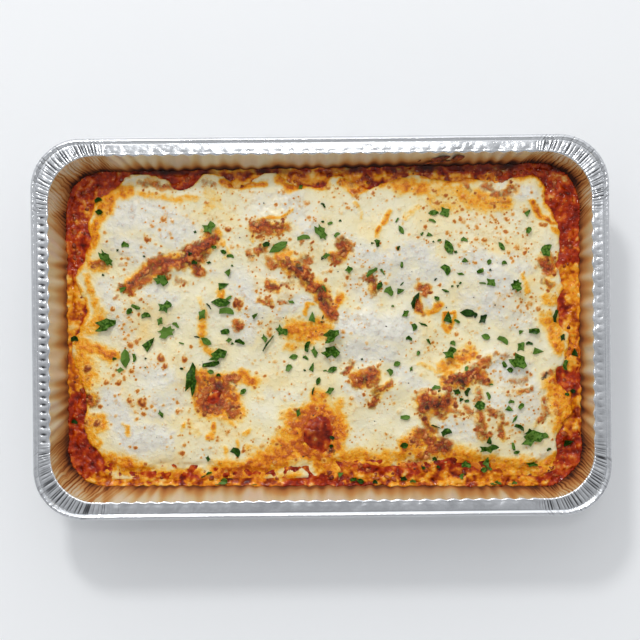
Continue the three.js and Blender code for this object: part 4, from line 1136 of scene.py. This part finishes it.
rim = add_node(melt, "ShaderNodeMapRange", {
    "Value": amounts["edge"], "From Min": 5, "From Max": 0, "To Max": broken})
amounts["oil"] = add_node(melt, "ShaderNodeMath", {0: amounts["oil"], 1: rim},
                          operation="MAXIMUM")
amber = add_node(melt, "ShaderNodeValToRGB", {"Fac": amounts["oil"]}, stops=[
    (0.1, "EBDFAC"), (0.3, "F0CF70"), (0.5, "F3BA3A"), (0.7, "F0A018"), (0.84, "E2820A"),
    (1, "BC5405")])
blistered = add_node(melt, "ShaderNodeValToRGB", {"Fac": amounts["blister"]}, stops=[
    (0.08, "ECD48C"), (0.28, "E2AE50"), (0.46, "CC842C"), (0.66, "A65218"), (0.9, "6E2A0A")])
browned = add_node(melt, "ShaderNodeValToRGB", {"Fac": curds}, stops=[
    (0.36, "300E04"), (0.44, "641F06"), (0.51, "94360A"), (0.58, "B85212"), (0.68, "DE8E3C")])
colour = add_node(melt, "ShaderNodeValToRGB", {"Fac": clouds}, stops=[
    (0.3, "E7E0C6"), (0.48, "E8DEB8"), (0.62, "EBDBAA"), (0.78, "EFCE88")])
for kind, start, full, most, tone in (
        ("dry", 0.2, 0.9, 1, "DEDBCE"), ("veil", 0.9, 1.5, 0.45, "C0AE9E"),
        ("stain", 0.35, 1, 0.6, "DFC07C"), ("oil", 0.05, 0.6, 1, amber),
        ("blister", 0.05, 0.45, 1, blistered), ("meat", 0.15, 0.75, 1, browned),
        ("char", 0.5, 1, 0.9, "35160B")):
    share = add_node(melt, "ShaderNodeMapRange", {
        "Value": amounts[kind], "From Min": start, "From Max": full, "To Max": most})
    colour = add_node(melt, "ShaderNodeMix", {"Factor": share, 6: colour, 7: tone}, 2,
                      data_type="RGBA")

wet = amounts["oil"]
for mark in (meat, brown):
    wet = add_node(melt, "ShaderNodeMath", {0: wet, 1: mark}, operation="MAXIMUM")
wet = add_node(melt, "ShaderNodeMath", {0: pale, 1: 0.8, 2: wet}, operation="MULTIPLY_ADD")
gloss = add_node(melt, "ShaderNodeMapRange", {
    "Value": wet, "From Min": 0, "From Max": 0.8, "To Min": 0.28, "To Max": 0.12})
skin = add_node(melt, "ShaderNodeMath", {0: curds, 1: pale}, operation="MULTIPLY")
soaked = add_node(melt, "ShaderNodeMath", {0: amounts["oil"], 1: amounts["meat"]},
                  operation="MAXIMUM")
lumps = add_node(melt, "ShaderNodeMath", {0: curds, 1: soaked}, operation="MULTIPLY")
relief = None
for pattern, strength, height in (
        (curds, 0.35, 0.7), (skin, 0.4, 1), (pores, 0.3, 0.3), (lumps, 0.8, 1.4)):
    relief = add_node(melt, "ShaderNodeBump", {
        "Height": pattern, "Strength": strength, "Distance": height * MM, "Normal": relief})
wire(melt_shader, Base_Color=colour, Roughness=gloss, Normal=relief)
finish(cheese, melt, "cheese", "melted_cheese")

# ---- Meat crumbs ----
# Crumbs of browned minced beef and tomato. They stand out of the cheese along its crests
# and lie thick in the sauce round its edges, each sunk by a third in what holds it.

CRUMBS_ON_CHEESE_TRIES = 30000
CRUMBS_IN_SAUCE_TRIES = 14000
OFF_THE_WALL = 3.6
MARGIN_CORNER = 21
LARGEST_IN_SAUCE = 2


def copy_of(piece):
    copied = piece.copy()
    copied.data = piece.data.copy()
    bpy.context.scene.collection.objects.link(copied)
    return copied


def join_all(pieces, name):
    bpy.ops.object.select_all(action="DESELECT")
    for piece in pieces:
        piece.select_set(True)
    bpy.context.view_layer.objects.active = pieces[0]
    bpy.ops.object.join()
    joined = bpy.context.active_object
    joined.name = joined.data.name = name
    return joined


def turned(points, random):
    """The points turned by a random turn in space."""
    turns, _ = np.linalg.qr(random.normal(size=(3, 3)))
    return points @ (turns * np.sign(np.linalg.det(turns)))


def scatter(name, places, heights, sizes, tones, seed):
    """One piece made of uneven crumbs that lie at the given places and heights."""
    random = np.random.default_rng(seed)
    template = primitive("crumb", bpy.ops.mesh.primitive_uv_sphere_add,
                         segments=8, ring_count=5, radius=1)
    shape = vertices_of(template.data) * MM
    pieces = []
    for (x, y), z, size, tone in zip(places, heights, sizes, tones):
        crumb = copy_of(template)
        stretch = random.uniform(0.55, 1.35, 3)
        lumpy = shape * stretch * random.uniform(0.78, 1.2, (len(shape), 1))
        points = turned(lumpy, random) * [size, size, 0.7 * size]
        put_vertices(crumb.data, points + [x, y, z - 0.3 * size])
        paint(crumb, "tone", tone)
        pieces.append(crumb)
    bpy.data.objects.remove(template)
    return join_all(pieces, name)


# Browned minced beef: dull dark brown crumbs, wet with orange fat.
mince, mince_shader = new_material("browned_minced_beef", IOR=1.42, Roughness=0.18)
place = add_node(mince, "ShaderNodeTexCoord", output="Object")
tone = add_node(mince, "ShaderNodeAttribute", output="Fac", attribute_name="tone")
mottle = add_node(mince, "ShaderNodeTexNoise", {
    "Vector": place, "Scale": scale_of(1.3), "Detail": 3})
toned = add_node(mince, "ShaderNodeMath", {0: mottle, 1: 0.8, 2: tone},
                 operation="MULTIPLY_ADD")
meat_colour = add_node(mince, "ShaderNodeValToRGB", {"Fac": toned}, stops=[
    (0.35, "360F05"), (0.55, "7E2C0A"), (0.75, "A84C18"), (1, "D08848")])
relief = add_node(mince, "ShaderNodeBump", {
    "Height": mottle, "Strength": 0.5, "Distance": 0.5 * MM})
wire(mince_shader, Base_Color=meat_colour, Normal=relief)

random = np.random.default_rng(37)
tries = strewn(random, 140, 88, CRUMBS_ON_CHEESE_TRIES)
heights, here = cheese_parts(*tries.T)
wanted = smooth((here["meat"] - 0.35) / 0.5) * (0.6 + 0.4 * uneven(*tries.T, 5, 59))
chosen = (random.uniform(0, 1, len(tries)) < 0.07 * wanted) & (here["inside"] > 0)
tones = random.uniform(0.3, 0.75, chosen.sum()) - 0.5 * here["char"][chosen]
crest_crumbs = scatter("crumbs_on_cheese", tries[chosen], heights[chosen],
                       random.gamma(5, 0.16, chosen.sum()) + 0.5, tones, 38)
finish(crest_crumbs, mince, "sauce")

# In the sauce they stay clear of the cheese and of the wall.
tries = strewn(random, 145, 90, CRUMBS_IN_SAUCE_TRIES)
tries = tries[cover_inside(*tries.T) < -0.5]
shrink = (FLANGE_TOP - food_level(tries[:, 0])) * WALL_LEAN + OFF_THE_WALL
across = np.maximum(np.abs(tries[:, 0]) - MOUTH_HALF_X + shrink + MARGIN_CORNER, 0)
along = np.maximum(np.abs(tries[:, 1]) - MOUTH_HALF_Y + shrink + MARGIN_CORNER, 0)
tries = tries[np.hypot(across, along) < MARGIN_CORNER]
tries = tries[random.uniform(0, 1, len(tries)) < 0.14 + 0.2 * uneven(*tries.T, 12, 60)]
sauce_crumbs = scatter("crumbs_in_sauce", tries, sauce_top(*tries.T),
                       np.minimum(random.gamma(5, 0.18, len(tries)) + 0.3, LARGEST_IN_SAUCE),
                       random.uniform(0.1, 0.42, len(tries)), 39)
finish(sauce_crumbs, mince, "sauce")

# ---- Burnt crust ----
# Sauce that boiled up the far wall in a few streaks, dried there and burnt to a thin dark
# lumpy crust. It is the same meat sauce as the crumbs, stuck to the foil.

CRUST_STREAKS = [  # x and height of the points of a line, half its width, its thickness
    ([(63, 41), (69, 42.6), (74, 44.6)], 1.6, 0.9),
    ([(74.5, 40.8), (78, 43), (82, 44.4)], 2.6, 1.2),
    ([(58, 34.4), (65, 38.4), (70, 38.7), (75, 39.6)], 1.1, 0.8),
    ([(55.3, 38), (57.6, 41)], 0.6, 0.4),
]
CRUST_STEPS = 40
CRUST_AROUND = 12
CRUST_OFF_WALL = 0.7
up_wall = np.array([0, math.sin(math.atan(WALL_LEAN)), math.cos(math.atan(WALL_LEAN))])
off_wall = np.array([0, -up_wall[2], up_wall[1]])
streaks = []
for line, half_width, thickness in CRUST_STREAKS:
    share = np.linspace(0, 1, CRUST_STEPS + 1)
    at = np.linspace(0, 1, len(line))
    x, z = (np.interp(share, at, values) for values in np.array(line).T)
    middle = np.stack([x, MOUTH_HALF_Y - (FLANGE_TOP - z) * WALL_LEAN, z], axis=1)
    middle += CRUST_OFF_WALL * off_wall
    swelling = np.sqrt(np.sin(math.pi * share)) * (1 + 0.4 * uneven(x, z, 2.2, 71))
    rows = []
    for k in range(CRUST_AROUND + 1):
        turn = 2 * math.pi * (k % CRUST_AROUND) / CRUST_AROUND
        upwards, outwards = math.cos(turn), math.sin(turn)
        lumpy = swelling * (1 + 0.35 * uneven(x + 3 * upwards, z + 3 * outwards, 1.6, 72))
        rows.append(middle + np.outer(lumpy, half_width * upwards * up_wall
                                      + thickness * max(outwards, -0.05) * off_wall))
    streak = grid_of("streak", np.stack(rows))
    weld()
    streaks.append(streak)
crust = join_all(streaks, "burnt_crust")
x, y, z = vertices_of(crust.data).T
paint(crust, "tone", 0.12 + 0.1 * uneven(x, z, 2, 73))
finish(crust, mince, "sauce")

# ---- Parsley ----
# Flat-leaf parsley, chopped and scattered while the cheese was hot. The wilted pieces curl
# and lie where they fell. The largest are whole leaflets.

LEAF_THICKNESS = 0.35
LEAF_SPREAD = 1.08
FLAKE_SPREAD = 1.2
LARGE_LEAVES = [  # column and row, length, width, turn, tone from dark to light
    (209, 227, 15, 13, 10, 0.55), (106, 258, 22, 10, -52, 0.5), (105, 325, 23, 13, 20, 0.45),
    (161, 280, 15, 12, -10, 0.5), (165, 307, 16, 13, 5, 0.45), (166, 332, 20, 13, 15, 0.7),
    (191, 380, 33, 12, 85, 0.35), (218, 355, 20, 12, 30, 0.45), (282, 331, 15, 11, -45, 0.45),
    (321, 232, 20, 11, -60, 0.55), (331, 336, 18, 13, 35, 0.45), (331, 352, 19, 13, 5, 0.4),
    (449, 353, 16, 12, 20, 0.5), (515, 286, 14, 12, 70, 0.45), (517, 361, 19, 16, -30, 0.5),
    (532, 438, 24, 15, 30, 0.5), (488, 448, 22, 9, 3, 0.45),
]
SMALL_FLAKES = [  # the same
    (125, 245, 9, 7, 10, 0.45), (117, 250, 3, 2.4, 0, 0.2), (144, 256, 3, 2.4, 0, 0.2),
    (98, 212, 7, 5, 0, 0.2), (97, 200, 8, 5, 15, 0.15), (195, 232, 3.4, 3, 0, 0.4),
    (194, 263, 7, 5, 10, 0.2), (190, 254, 5, 4, 0, 0.1), (214, 247, 6, 4.5, 20, 0.4),
    (223, 252, 6, 4, -30, 0.35), (230, 256, 8, 4, -8, 0.45), (208, 262, 5, 3, 0, 0.3),
    (232, 266, 2.8, 2.4, 0, 0.3), (228, 273, 8, 6.5, 40, 0.75), (267, 243, 9, 7, 30, 0.3),
    (278, 248, 19, 8, 26, 0.55), (304, 238, 14, 5.5, 14, 0.55), (300, 187, 5.5, 4, 60, 0.5),
    (323, 205, 7, 3, -40, 0.35), (322, 259, 4, 3, 0, 0.25), (331, 223, 6.5, 4, 20, 0.6),
    (323, 222, 3, 2, 0, 0.3), (337, 235, 7, 4, 45, 0.55), (326, 256, 9, 5, 30, 0.5),
    (377, 243, 9, 6, -60, 0.4), (372, 243, 4, 2, 0, 0.35), (397, 219, 7, 2.6, 60, 0.5),
    (401, 230, 9, 4.4, -55, 0.55), (398, 248, 5, 3, 80, 0.3), (349, 270, 8, 7, 30, 0.5),
    (371, 272, 16, 5.5, 33, 0.7), (382, 271, 9, 2.6, -62, 0.6), (402, 266, 7.5, 4, -80, 0.5),
    (433, 213, 9, 5, 6, 0.5), (432, 221, 8, 3, -18, 0.55), (444, 212, 12, 10, -40, 0.5),
    (422, 234, 4.5, 3, 60, 0.5), (429, 235, 7, 4.5, -20, 0.5), (439, 240, 4.5, 3, 20, 0.45),
    (448, 247, 14, 8, -68, 0.45), (446, 270, 12, 8, -45, 0.45), (437, 213, 3, 2, 0, 0.5),
    (464, 240, 8, 5, -5, 0.5), (464, 261, 7, 5, -20, 0.5), (480, 270, 9, 6, 30, 0.45),
    (489, 262, 5.5, 4.4, 80, 0.5), (504, 263, 5.5, 4, 5, 0.45), (460, 274, 8, 2.8, -10, 0.55),
    (490, 270, 2.6, 2.4, 0, 0.1), (527, 214, 9, 5, 48, 0.55), (528, 229, 8, 6.5, 85, 0.55),
    (501, 246, 9, 4.4, -50, 0.5), (546, 250, 13, 11, 80, 0.5), (455, 252, 4, 3, 0, 0.3),
    (102, 275, 3, 2.4, 0, 0.3), (122, 290, 9, 5.6, 32, 0.65), (137, 307, 12, 5, -25, 0.5),
    (129, 311, 7, 5, 60, 0.4), (146, 316, 10, 6, 10, 0.45), (160, 322, 9, 6, 80, 0.5),
    (176, 325, 9, 4.4, -35, 0.55), (148, 345, 18, 9, 46, 0.4), (182, 343, 6.5, 1.8, -10, 0.6),
    (125, 359, 17, 8.5, 86, 0.7), (134, 358, 9, 3.6, -80, 0.5), (119, 370, 8, 5, 15, 0.6),
    (114, 359, 5, 3.6, 30, 0.3), (145, 359, 2.8, 2.2, 0, 0.2), (145, 367, 2.2, 1.8, 0, 0.2),
    (181, 369, 3.4, 2.2, 0, 0.2), (73, 339, 8, 6, 0, 0.12), (161, 414, 8.5, 4.6, -55, 0.45),
    (73, 422, 7, 5.5, 0, 0.2), (222, 286, 13, 7.5, 14, 0.4), (229, 297, 9, 4, 42, 0.75),
    (220, 303, 17, 8, 0, 0.4), (226, 311, 16, 7.5, -4, 0.8), (202, 315, 12, 7.5, 70, 0.65),
    (209, 306, 9, 1.6, -55, 0.25), (254, 316, 8, 4, 40, 0.5), (226, 331, 11, 8, 20, 0.4),
    (206, 341, 11, 6, -35, 0.6), (197, 337, 6, 1.4, -12, 0.2), (228, 340, 6.5, 4.6, 30, 0.6),
    (240, 342, 12, 5.4, -18, 0.4), (232, 344, 4, 2.8, -20, 0.3), (213, 363, 22, 7, 6, 0.35),
    (210, 372, 6, 4, 0, 0.65), (218, 375, 4.4, 3.4, 0, 0.4), (264, 338, 9, 5, -60, 0.5),
    (268, 343, 22, 2, 57, 0.35), (312, 318, 12, 7, 82, 0.65), (288, 367, 9, 8, 80, 0.6),
    (293, 357, 8, 5, 5, 0.6), (307, 346, 12, 5, 75, 0.4), (314, 352, 12, 6, -70, 0.55),
    (306, 358, 7, 4, -20, 0.45), (312, 368, 11, 5, 74, 0.5), (305, 370, 3, 2.4, 0, 0.3),
    (318, 381, 7.5, 4, 75, 0.4), (313, 391, 8, 2, 82, 0.3), (291, 302, 7, 3.4, -15, 0.7),
    (324, 288, 8, 3, -60, 0.55), (323, 317, 5, 1.6, 75, 0.2), (322, 322, 3, 2, 0, 0.2),
    (332, 370, 9.5, 5.4, 28, 0.45), (325, 371, 4, 1.8, 0, 0.4), (330, 391, 10, 6, 42, 0.55),
    (389, 291, 11, 9.5, -20, 0.6), (400, 291, 9, 6, 10, 0.4), (402, 283, 6, 1.8, 55, 0.3),
    (379, 286, 8, 5, 60, 0.35), (393, 306, 3, 2.4, 0, 0.45), (405, 314, 9, 6, 55, 0.5),
    (414, 302, 15, 5, 76, 0.2), (417, 296, 8, 5, 60, 0.2), (437, 298, 6.5, 5.6, 0, 0.45),
    (445, 291, 7, 2, -28, 0.4), (414, 327, 7.5, 6, -80, 0.4), (423, 324, 10, 2.4, -25, 0.35),
    (409, 338, 7.5, 5, -10, 0.4), (428, 341, 8, 3, -58, 0.5), (418, 352, 6, 4.4, 80, 0.45),
    (397, 364, 6.4, 5, 20, 0.55), (390, 372, 7.4, 6, -50, 0.5), (411, 369, 5.4, 3.2, 80, 0.45),
    (435, 279, 4, 2, 60, 0.2), (448, 319, 13, 9, 82, 0.35), (458, 321, 8, 4, -20, 0.5),
    (467, 313, 14, 7.5, 5, 0.2), (474, 315, 6, 5, -60, 0.15), (482, 319, 12, 7, 58, 0.12),
    (452, 286, 3, 2.6, 40, 0.4), (457, 286, 3.4, 3, 30, 0.35), (460, 283, 3.4, 2.6, 60, 0.4),
    (444, 291, 5, 2, -30, 0.5), (482, 283, 7.4, 2, -4, 0.7), (490, 282, 11, 8, -28, 0.55),
    (555, 316, 15, 5.4, 84, 0.2), (520, 332, 6, 4.4, 20, 0.6), (535, 330, 14, 8, 5, 0.4),
    (485, 337, 8, 5.6, -10, 0.6), (503, 340, 13, 6, -28, 0.65), (520, 347, 11, 8, 75, 0.5),
    (529, 343, 8, 4, 5, 0.3), (536, 351, 12, 7, -15, 0.6), (505, 365, 8, 6, -40, 0.45),
    (509, 370, 6, 5, 0, 0.35), (453, 343, 6, 5, -20, 0.5), (562, 338, 8, 5, 80, 0.15),
    (565, 365, 12, 6, 84, 0.5), (575, 353, 9, 7, 80, 0.15), (465, 368, 6, 5, 80, 0.65),
    (243, 392, 7, 4.4, 50, 0.55), (236, 452, 11, 8, -30, 0.25), (208, 459, 6.5, 4, -85, 0.3),
    (209, 474, 7, 3, 20, 0.5), (203, 477, 7, 1.2, 18, 0.4), (223, 481, 11, 9, 60, 0.6),
    (218, 487, 6, 3, 0, 0.6), (254, 488, 5, 3, 0, 0.5), (298, 412, 9, 4.6, -88, 0.5),
    (436, 387, 10, 5, 14, 0.55), (438, 391, 3.4, 2, 0, 0.2), (406, 416, 12, 6.6, 4, 0.6),
    (404, 445, 7.6, 5.6, 5, 0.3), (435, 459, 5, 4.4, 0, 0.3), (423, 468, 4.4, 3.6, 0, 0.2),
    (438, 467, 4, 3.6, 0, 0.2), (340, 475, 7, 5, 20, 0.6), (354, 479, 8, 4.4, 20, 0.35),
    (360, 482, 7, 5, -10, 0.3), (375, 482, 5, 4, 0, 0.15), (403, 479, 8.4, 5, -5, 0.15),
    (413, 481, 7, 4, 10, 0.6), (434, 426, 12, 1.6, -25, 0.3), (333, 437, 6, 5, 0, 0.1),
    (331, 446, 4, 3, 0, 0.1), (446, 432, 11, 7.4, 22, 0.35), (456, 391, 8, 6, 0, 0.3),
    (466, 391, 10, 5.6, 80, 0.25), (460, 399, 5, 4, 0, 0.3), (466, 400, 6, 4, 20, 0.35),
    (479, 405, 10, 9, 20, 0.45), (487, 395, 8.6, 3.6, -62, 0.6), (490, 384, 5, 1.8, 0, 0.5),
    (510, 401, 7, 4, 10, 0.5), (508, 408, 9, 6, -40, 0.5), (520, 405, 8, 6.4, 60, 0.6),
    (514, 419, 8, 2.2, 60, 0.5), (518, 427, 11, 4.6, -24, 0.35), (529, 433, 10, 8, 20, 0.3),
    (542, 436, 12, 10, 40, 0.6), (489, 441, 9, 5.6, 80, 0.35), (513, 447, 10, 4.4, -72, 0.5),
    (516, 452, 6, 3, 10, 0.5), (548, 449, 5, 2.6, 35, 0.4), (531, 464, 13, 4.6, 0, 0.4),
    (466, 465, 11, 8, 5, 0.45), (486, 463, 11, 7, 70, 0.5), (490, 468, 8, 4, -35, 0.5),
    (484, 470, 6, 5, 0, 0.45), (462, 476, 6, 4, 85, 0.55), (495, 484, 12, 6, 8, 0.55),
    (515, 483, 6, 3.6, 0, 0.5), (567, 443, 12, 7, 5, 0.12), (567, 394, 5.6, 4.4, 0, 0.3),
    (572, 391, 5, 4, 0, 0.1), (340, 221, 3, 2.4, 0, 0.3), (362, 359, 2.6, 2, 0, 0.3),
    (433, 242, 2.6, 2, 0, 0.4),
]


def food_top(x, y):
    top, _ = cheese_parts(x, y)
    return np.maximum(top, sauce_top(x, y))


def leaf_template(name, corners, between, notch, seed, subdivide):
    """A flat chopped leaf from -0.5 to 0.5 along X. Every other corner is cut in to between
    `notch` and 1 of its reach, and the edges between corners are straight."""
    random = np.random.default_rng(seed)
    reach = 0.5 * random.uniform(0.85, 1, corners)
    reach[1::2] *= random.uniform(notch, 1, len(reach[1::2]))
    angle = 2 * math.pi * (np.arange(corners) + random.uniform(-0.25, 0.25, corners)) / corners
    corner_x, corner_y = reach * np.cos(angle), reach * np.sin(angle)
    steps = corners * between
    leaf = primitive(name, bpy.ops.mesh.primitive_circle_add,
                     vertices=steps, radius=0.5, fill_type="TRIFAN")
    for vertex in leaf.data.vertices:
        x, y, _ = vertex.co
        if x or y:
            step = round(math.atan2(y, x) / (2 * math.pi) * steps) % steps
            first, share = step // between, step % between / between
            second = (first + 1) % corners
            vertex.co = (corner_x[first] * (1 - share) + corner_x[second] * share,
                         corner_y[first] * (1 - share) + corner_y[second] * share, 0)
    if subdivide:
        bpy.ops.object.mode_set(mode="EDIT")
        bpy.ops.mesh.select_all(action="SELECT")
        bpy.ops.mesh.subdivide(number_cuts=subdivide)
        bpy.ops.object.mode_set(mode="OBJECT")
    return leaf


def laid_leaf(leaf, x, y, length, width, turn, curl, lift):
    """Lays a leaf on the food: sized, turned, curled along its middle and draped."""
    mesh = leaf.data
    across, up, _ = (vertices_of(mesh) * MM).T
    turn = math.radians(turn)
    flat_x, flat_y = across * length, up * width
    new_x = x + flat_x * math.cos(turn) - flat_y * math.sin(turn)
    new_y = y + flat_x * math.sin(turn) + flat_y * math.cos(turn)
    shrink = (FLANGE_TOP - food_level(x)) * WALL_LEAN + 1
    new_x = np.clip(new_x, shrink - MOUTH_HALF_X, MOUTH_HALF_X - shrink)
    new_y = np.clip(new_y, shrink - MOUTH_HALF_Y, MOUTH_HALF_Y - shrink)
    fold = np.abs(up + 0.15 * math.sin(x)) + 0.5 * np.abs(across + 0.3 * math.cos(y))
    bend = curl * width * 0.9 * fold + 0.16 * length * curl * np.sin(9 * across + 4 * up + x)
    ground = food_top(new_x, new_y)
    settled = 0.6 * ground + 0.4 * ground.max() + lift + bend - bend.min()
    put_vertices(mesh, np.stack([new_x, new_y, settled], axis=1))


# Chopped parsley leaf: mid to dark green and satin, mottled paler, and slightly puckered.
herb, herb_shader = new_material("chopped_parsley_leaf", Roughness=0.35, IOR=1.22)
place = add_node(herb, "ShaderNodeTexCoord", output="Object")
tone = add_node(herb, "ShaderNodeAttribute", output="Fac", attribute_name="tone")
mottle = add_node(herb, "ShaderNodeTexNoise", {
    "Vector": place, "Scale": scale_of(1.5), "Detail": 3})
toned = add_node(herb, "ShaderNodeMath", {0: mottle, 1: 1, 2: tone},
                 operation="MULTIPLY_ADD")
green = add_node(herb, "ShaderNodeValToRGB", {"Fac": toned}, stops=[
    (0.3, "081402"), (0.55, "132B03"), (0.8, "234506"), (0.94, "355C0C"), (1, "587A2C")])
puckers = add_node(herb, "ShaderNodeBump", {
    "Height": mottle, "Strength": 0.5, "Distance": 0.6 * MM})
wire(herb_shader, Base_Color=green, Normal=puckers)

random = np.random.default_rng(29)
leaf_shapes = [leaf_template("leaf", corners, 3, 0.4, seed, 2) for corners, seed in
               ((12, 61), (10, 62), (14, 63), (11, 64))]
for number, (column, row, length, width, turn, tone_here) in enumerate(LARGE_LEAVES, 1):
    x, y, length, width = on_food(column, row, length, width)
    leaf = copy_of(leaf_shapes[number % len(leaf_shapes)])
    leaf.name = leaf.data.name = f"leaflet_{number:02}"
    laid_leaf(leaf, x, y, LEAF_SPREAD * length, LEAF_SPREAD * width, turn,
              random.uniform(0.2, 0.9), 0.25)
    apply_modifier(leaf, "SOLIDIFY", thickness=LEAF_THICKNESS * MM, offset=0)
    paint(leaf, "tone", tone_here)
    finish(leaf, herb, "parsley", f"parsley_leaf_{number:02}", crisp=True)

flake_shapes = [leaf_template("flake", corners, 2, 0.45, seed, 0) for corners, seed in
                ((7, 71), (6, 72), (5, 73), (8, 74), (7, 75), (9, 76))]
flakes = []
for number, (column, row, length, width, turn, tone_here) in enumerate(SMALL_FLAKES):
    x, y, length, width = on_food(column, row, length, width)
    flake = copy_of(flake_shapes[number % len(flake_shapes)])
    laid_leaf(flake, x, y, FLAKE_SPREAD * length, FLAKE_SPREAD * width,
              turn + random.uniform(-8, 8), random.uniform(0.1, 0.9), 0.15)
    paint(flake, "tone", tone_here)
    flakes.append(flake)
flakes = join_all(flakes, "parsley_flakes")
apply_modifier(flakes, "SOLIDIFY", thickness=LEAF_THICKNESS * MM, offset=0)
finish(flakes, herb, "parsley", crisp=True)

# ---- Black pepper ----
# Coarsely ground peppercorns, scattered with the parsley and stuck in the cheese and the
# sauce. Each is a broken grain about a millimetre across.

PEPPER_GRAINS = [  # column and row, size
    (264, 203, 3), (240, 238, 2.6), (386, 326, 3), (283, 318, 2.2), (262, 318, 2.2),
    (473, 297, 2.2), (446, 307, 2.8), (494, 305, 2.6), (408, 383, 2.4), (358, 368, 2.8),
    (375, 421, 2.2), (298, 433, 2.4), (281, 446, 2.2), (221, 464, 2), (140, 419, 2),
    (157, 437, 1.8), (107, 405, 2), (412, 272, 2), (361, 244, 2.4), (338, 272, 2.4),
    (380, 360, 2.6), (421, 221, 2.2), (295, 277, 2.6), (316, 331, 2.6), (497, 263, 2),
    (528, 252, 2), (478, 234, 1.6), (457, 191, 2.4), (435, 388, 2), (550, 405, 1.8),
    (499, 411, 2.2), (463, 424, 1.6), (479, 436, 1.6), (152, 341, 1.8), (236, 386, 2.8),
    (212, 393, 3), (313, 416, 3), (303, 457, 3), (246, 484, 2.4), (190, 459, 1.8),
]

# Ground black pepper: matt and nearly black, with brown where the skin is broken.
pepper_skin, pepper_shader = new_material("ground_black_pepper", Roughness=0.6)
place = add_node(pepper_skin, "ShaderNodeTexCoord", output="Object")
wrinkled = add_node(pepper_skin, "ShaderNodeTexNoise", {"Vector": place, "Scale": scale_of(0.6)})
pepper_colour = add_node(pepper_skin, "ShaderNodeValToRGB", {"Fac": wrinkled}, stops=[
    (0.3, "120D09"), (0.7, "3B2A1C")])
wire(pepper_shader, Base_Color=pepper_colour)
grain_shape = primitive("grain", bpy.ops.mesh.primitive_ico_sphere_add,
                        subdivisions=1, radius=0.5)
grains = []
for column, row, size in PEPPER_GRAINS:
    x, y, size = on_food(column, row, 0.8 * size)
    grain = copy_of(grain_shape)
    points = vertices_of(grain.data) * MM
    points = points * random.uniform(0.45, 0.9, points.shape) * size
    points = points + [x, y, float(food_top(np.array([x]), np.array([y]))[0]) + 0.1 * size]
    put_vertices(grain.data, points)
    grains.append(grain)
pepper = join_all(grains, "pepper_grains")
finish(pepper, pepper_skin, "parsley")
for spare in (*leaf_shapes, *flake_shapes, grain_shape):
    bpy.data.objects.remove(spare)

# ---- Floor and light ----
# A plain pale matt floor, a large softbox to the upper left, and a pale room all round that
# fills in the shadows.

FLOOR_SIZE = 12

floor = primitive("floor", bpy.ops.mesh.primitive_plane_add, size=FLOOR_SIZE)
paper, paper_shader = new_material("matt_white_paper", Roughness=0.9)
paper_shader.inputs["Base Color"].default_value = linear("F2F3F4")
floor.data.materials.append(paper)


def softbox(name, place, size, power):
    """A square panel of light, facing the tray."""
    data = bpy.data.lights.new(name, "AREA")
    data.size = size
    data.energy = power
    panel = bpy.data.objects.new(name, data)
    panel.location = place
    panel.rotation_euler = (-Vector(place)).to_track_quat("-Z", "Y").to_euler()
    bpy.context.scene.collection.objects.link(panel)


softbox("key_softbox", (-0.6, 1.7, 1.85), 0.3, 18)
softbox("key_surround", (-0.45, 1.8, 1.75), 2.4, 10)
softbox("ceiling_bounce", (0.0, 0.45, 2.3), 0.25, 4)

room = bpy.data.worlds.new("pale_room")
room.use_nodes = True
to_sky = add_node(room, "ShaderNodeTexCoord", output="Generated")
sideways, forwards, upwards = (
    add_node(room, "ShaderNodeSeparateXYZ", {"Vector": to_sky}, output=axis) for axis in "XYZ")
brightness = add_node(room, "ShaderNodeValToRGB", {"Fac": upwards}, stops=[
    (0, 0.72), (0.25, 0.76), (0.5, 0.92), (0.72, 0.62), (0.88, 0.52), (0.96, 0.52), (1, 0.5)])
from_near = add_node(room, "ShaderNodeMapRange", {"Value": forwards, "From Min": -1})
to_far = add_node(room, "ShaderNodeValToRGB", {"Fac": from_near}, stops=[
    (0, 0.7), (0.3, 0.72), (0.41, 0.76), (0.58, 1.1), (1, 1.1)])
squared = add_node(room, "ShaderNodeMath", {0: sideways, 1: sideways}, operation="MULTIPLY")
to_sides = add_node(room, "ShaderNodeValToRGB", {"Fac": squared}, stops=[
    (0, 0.95), (0.03, 1.23), (0.2, 1.23), (0.45, 0.92), (1, 0.88)])
for factor in (to_far, to_sides):
    brightness = add_node(room, "ShaderNodeMath", {0: brightness, 1: factor},
                          operation="MULTIPLY")
background = room.node_tree.nodes["Background"]
background.inputs["Color"].default_value = linear("F7F9FC")
wire(background, Strength=brightness)
bpy.context.scene.world = room
bpy.context.scene.view_settings.view_transform = "Standard"
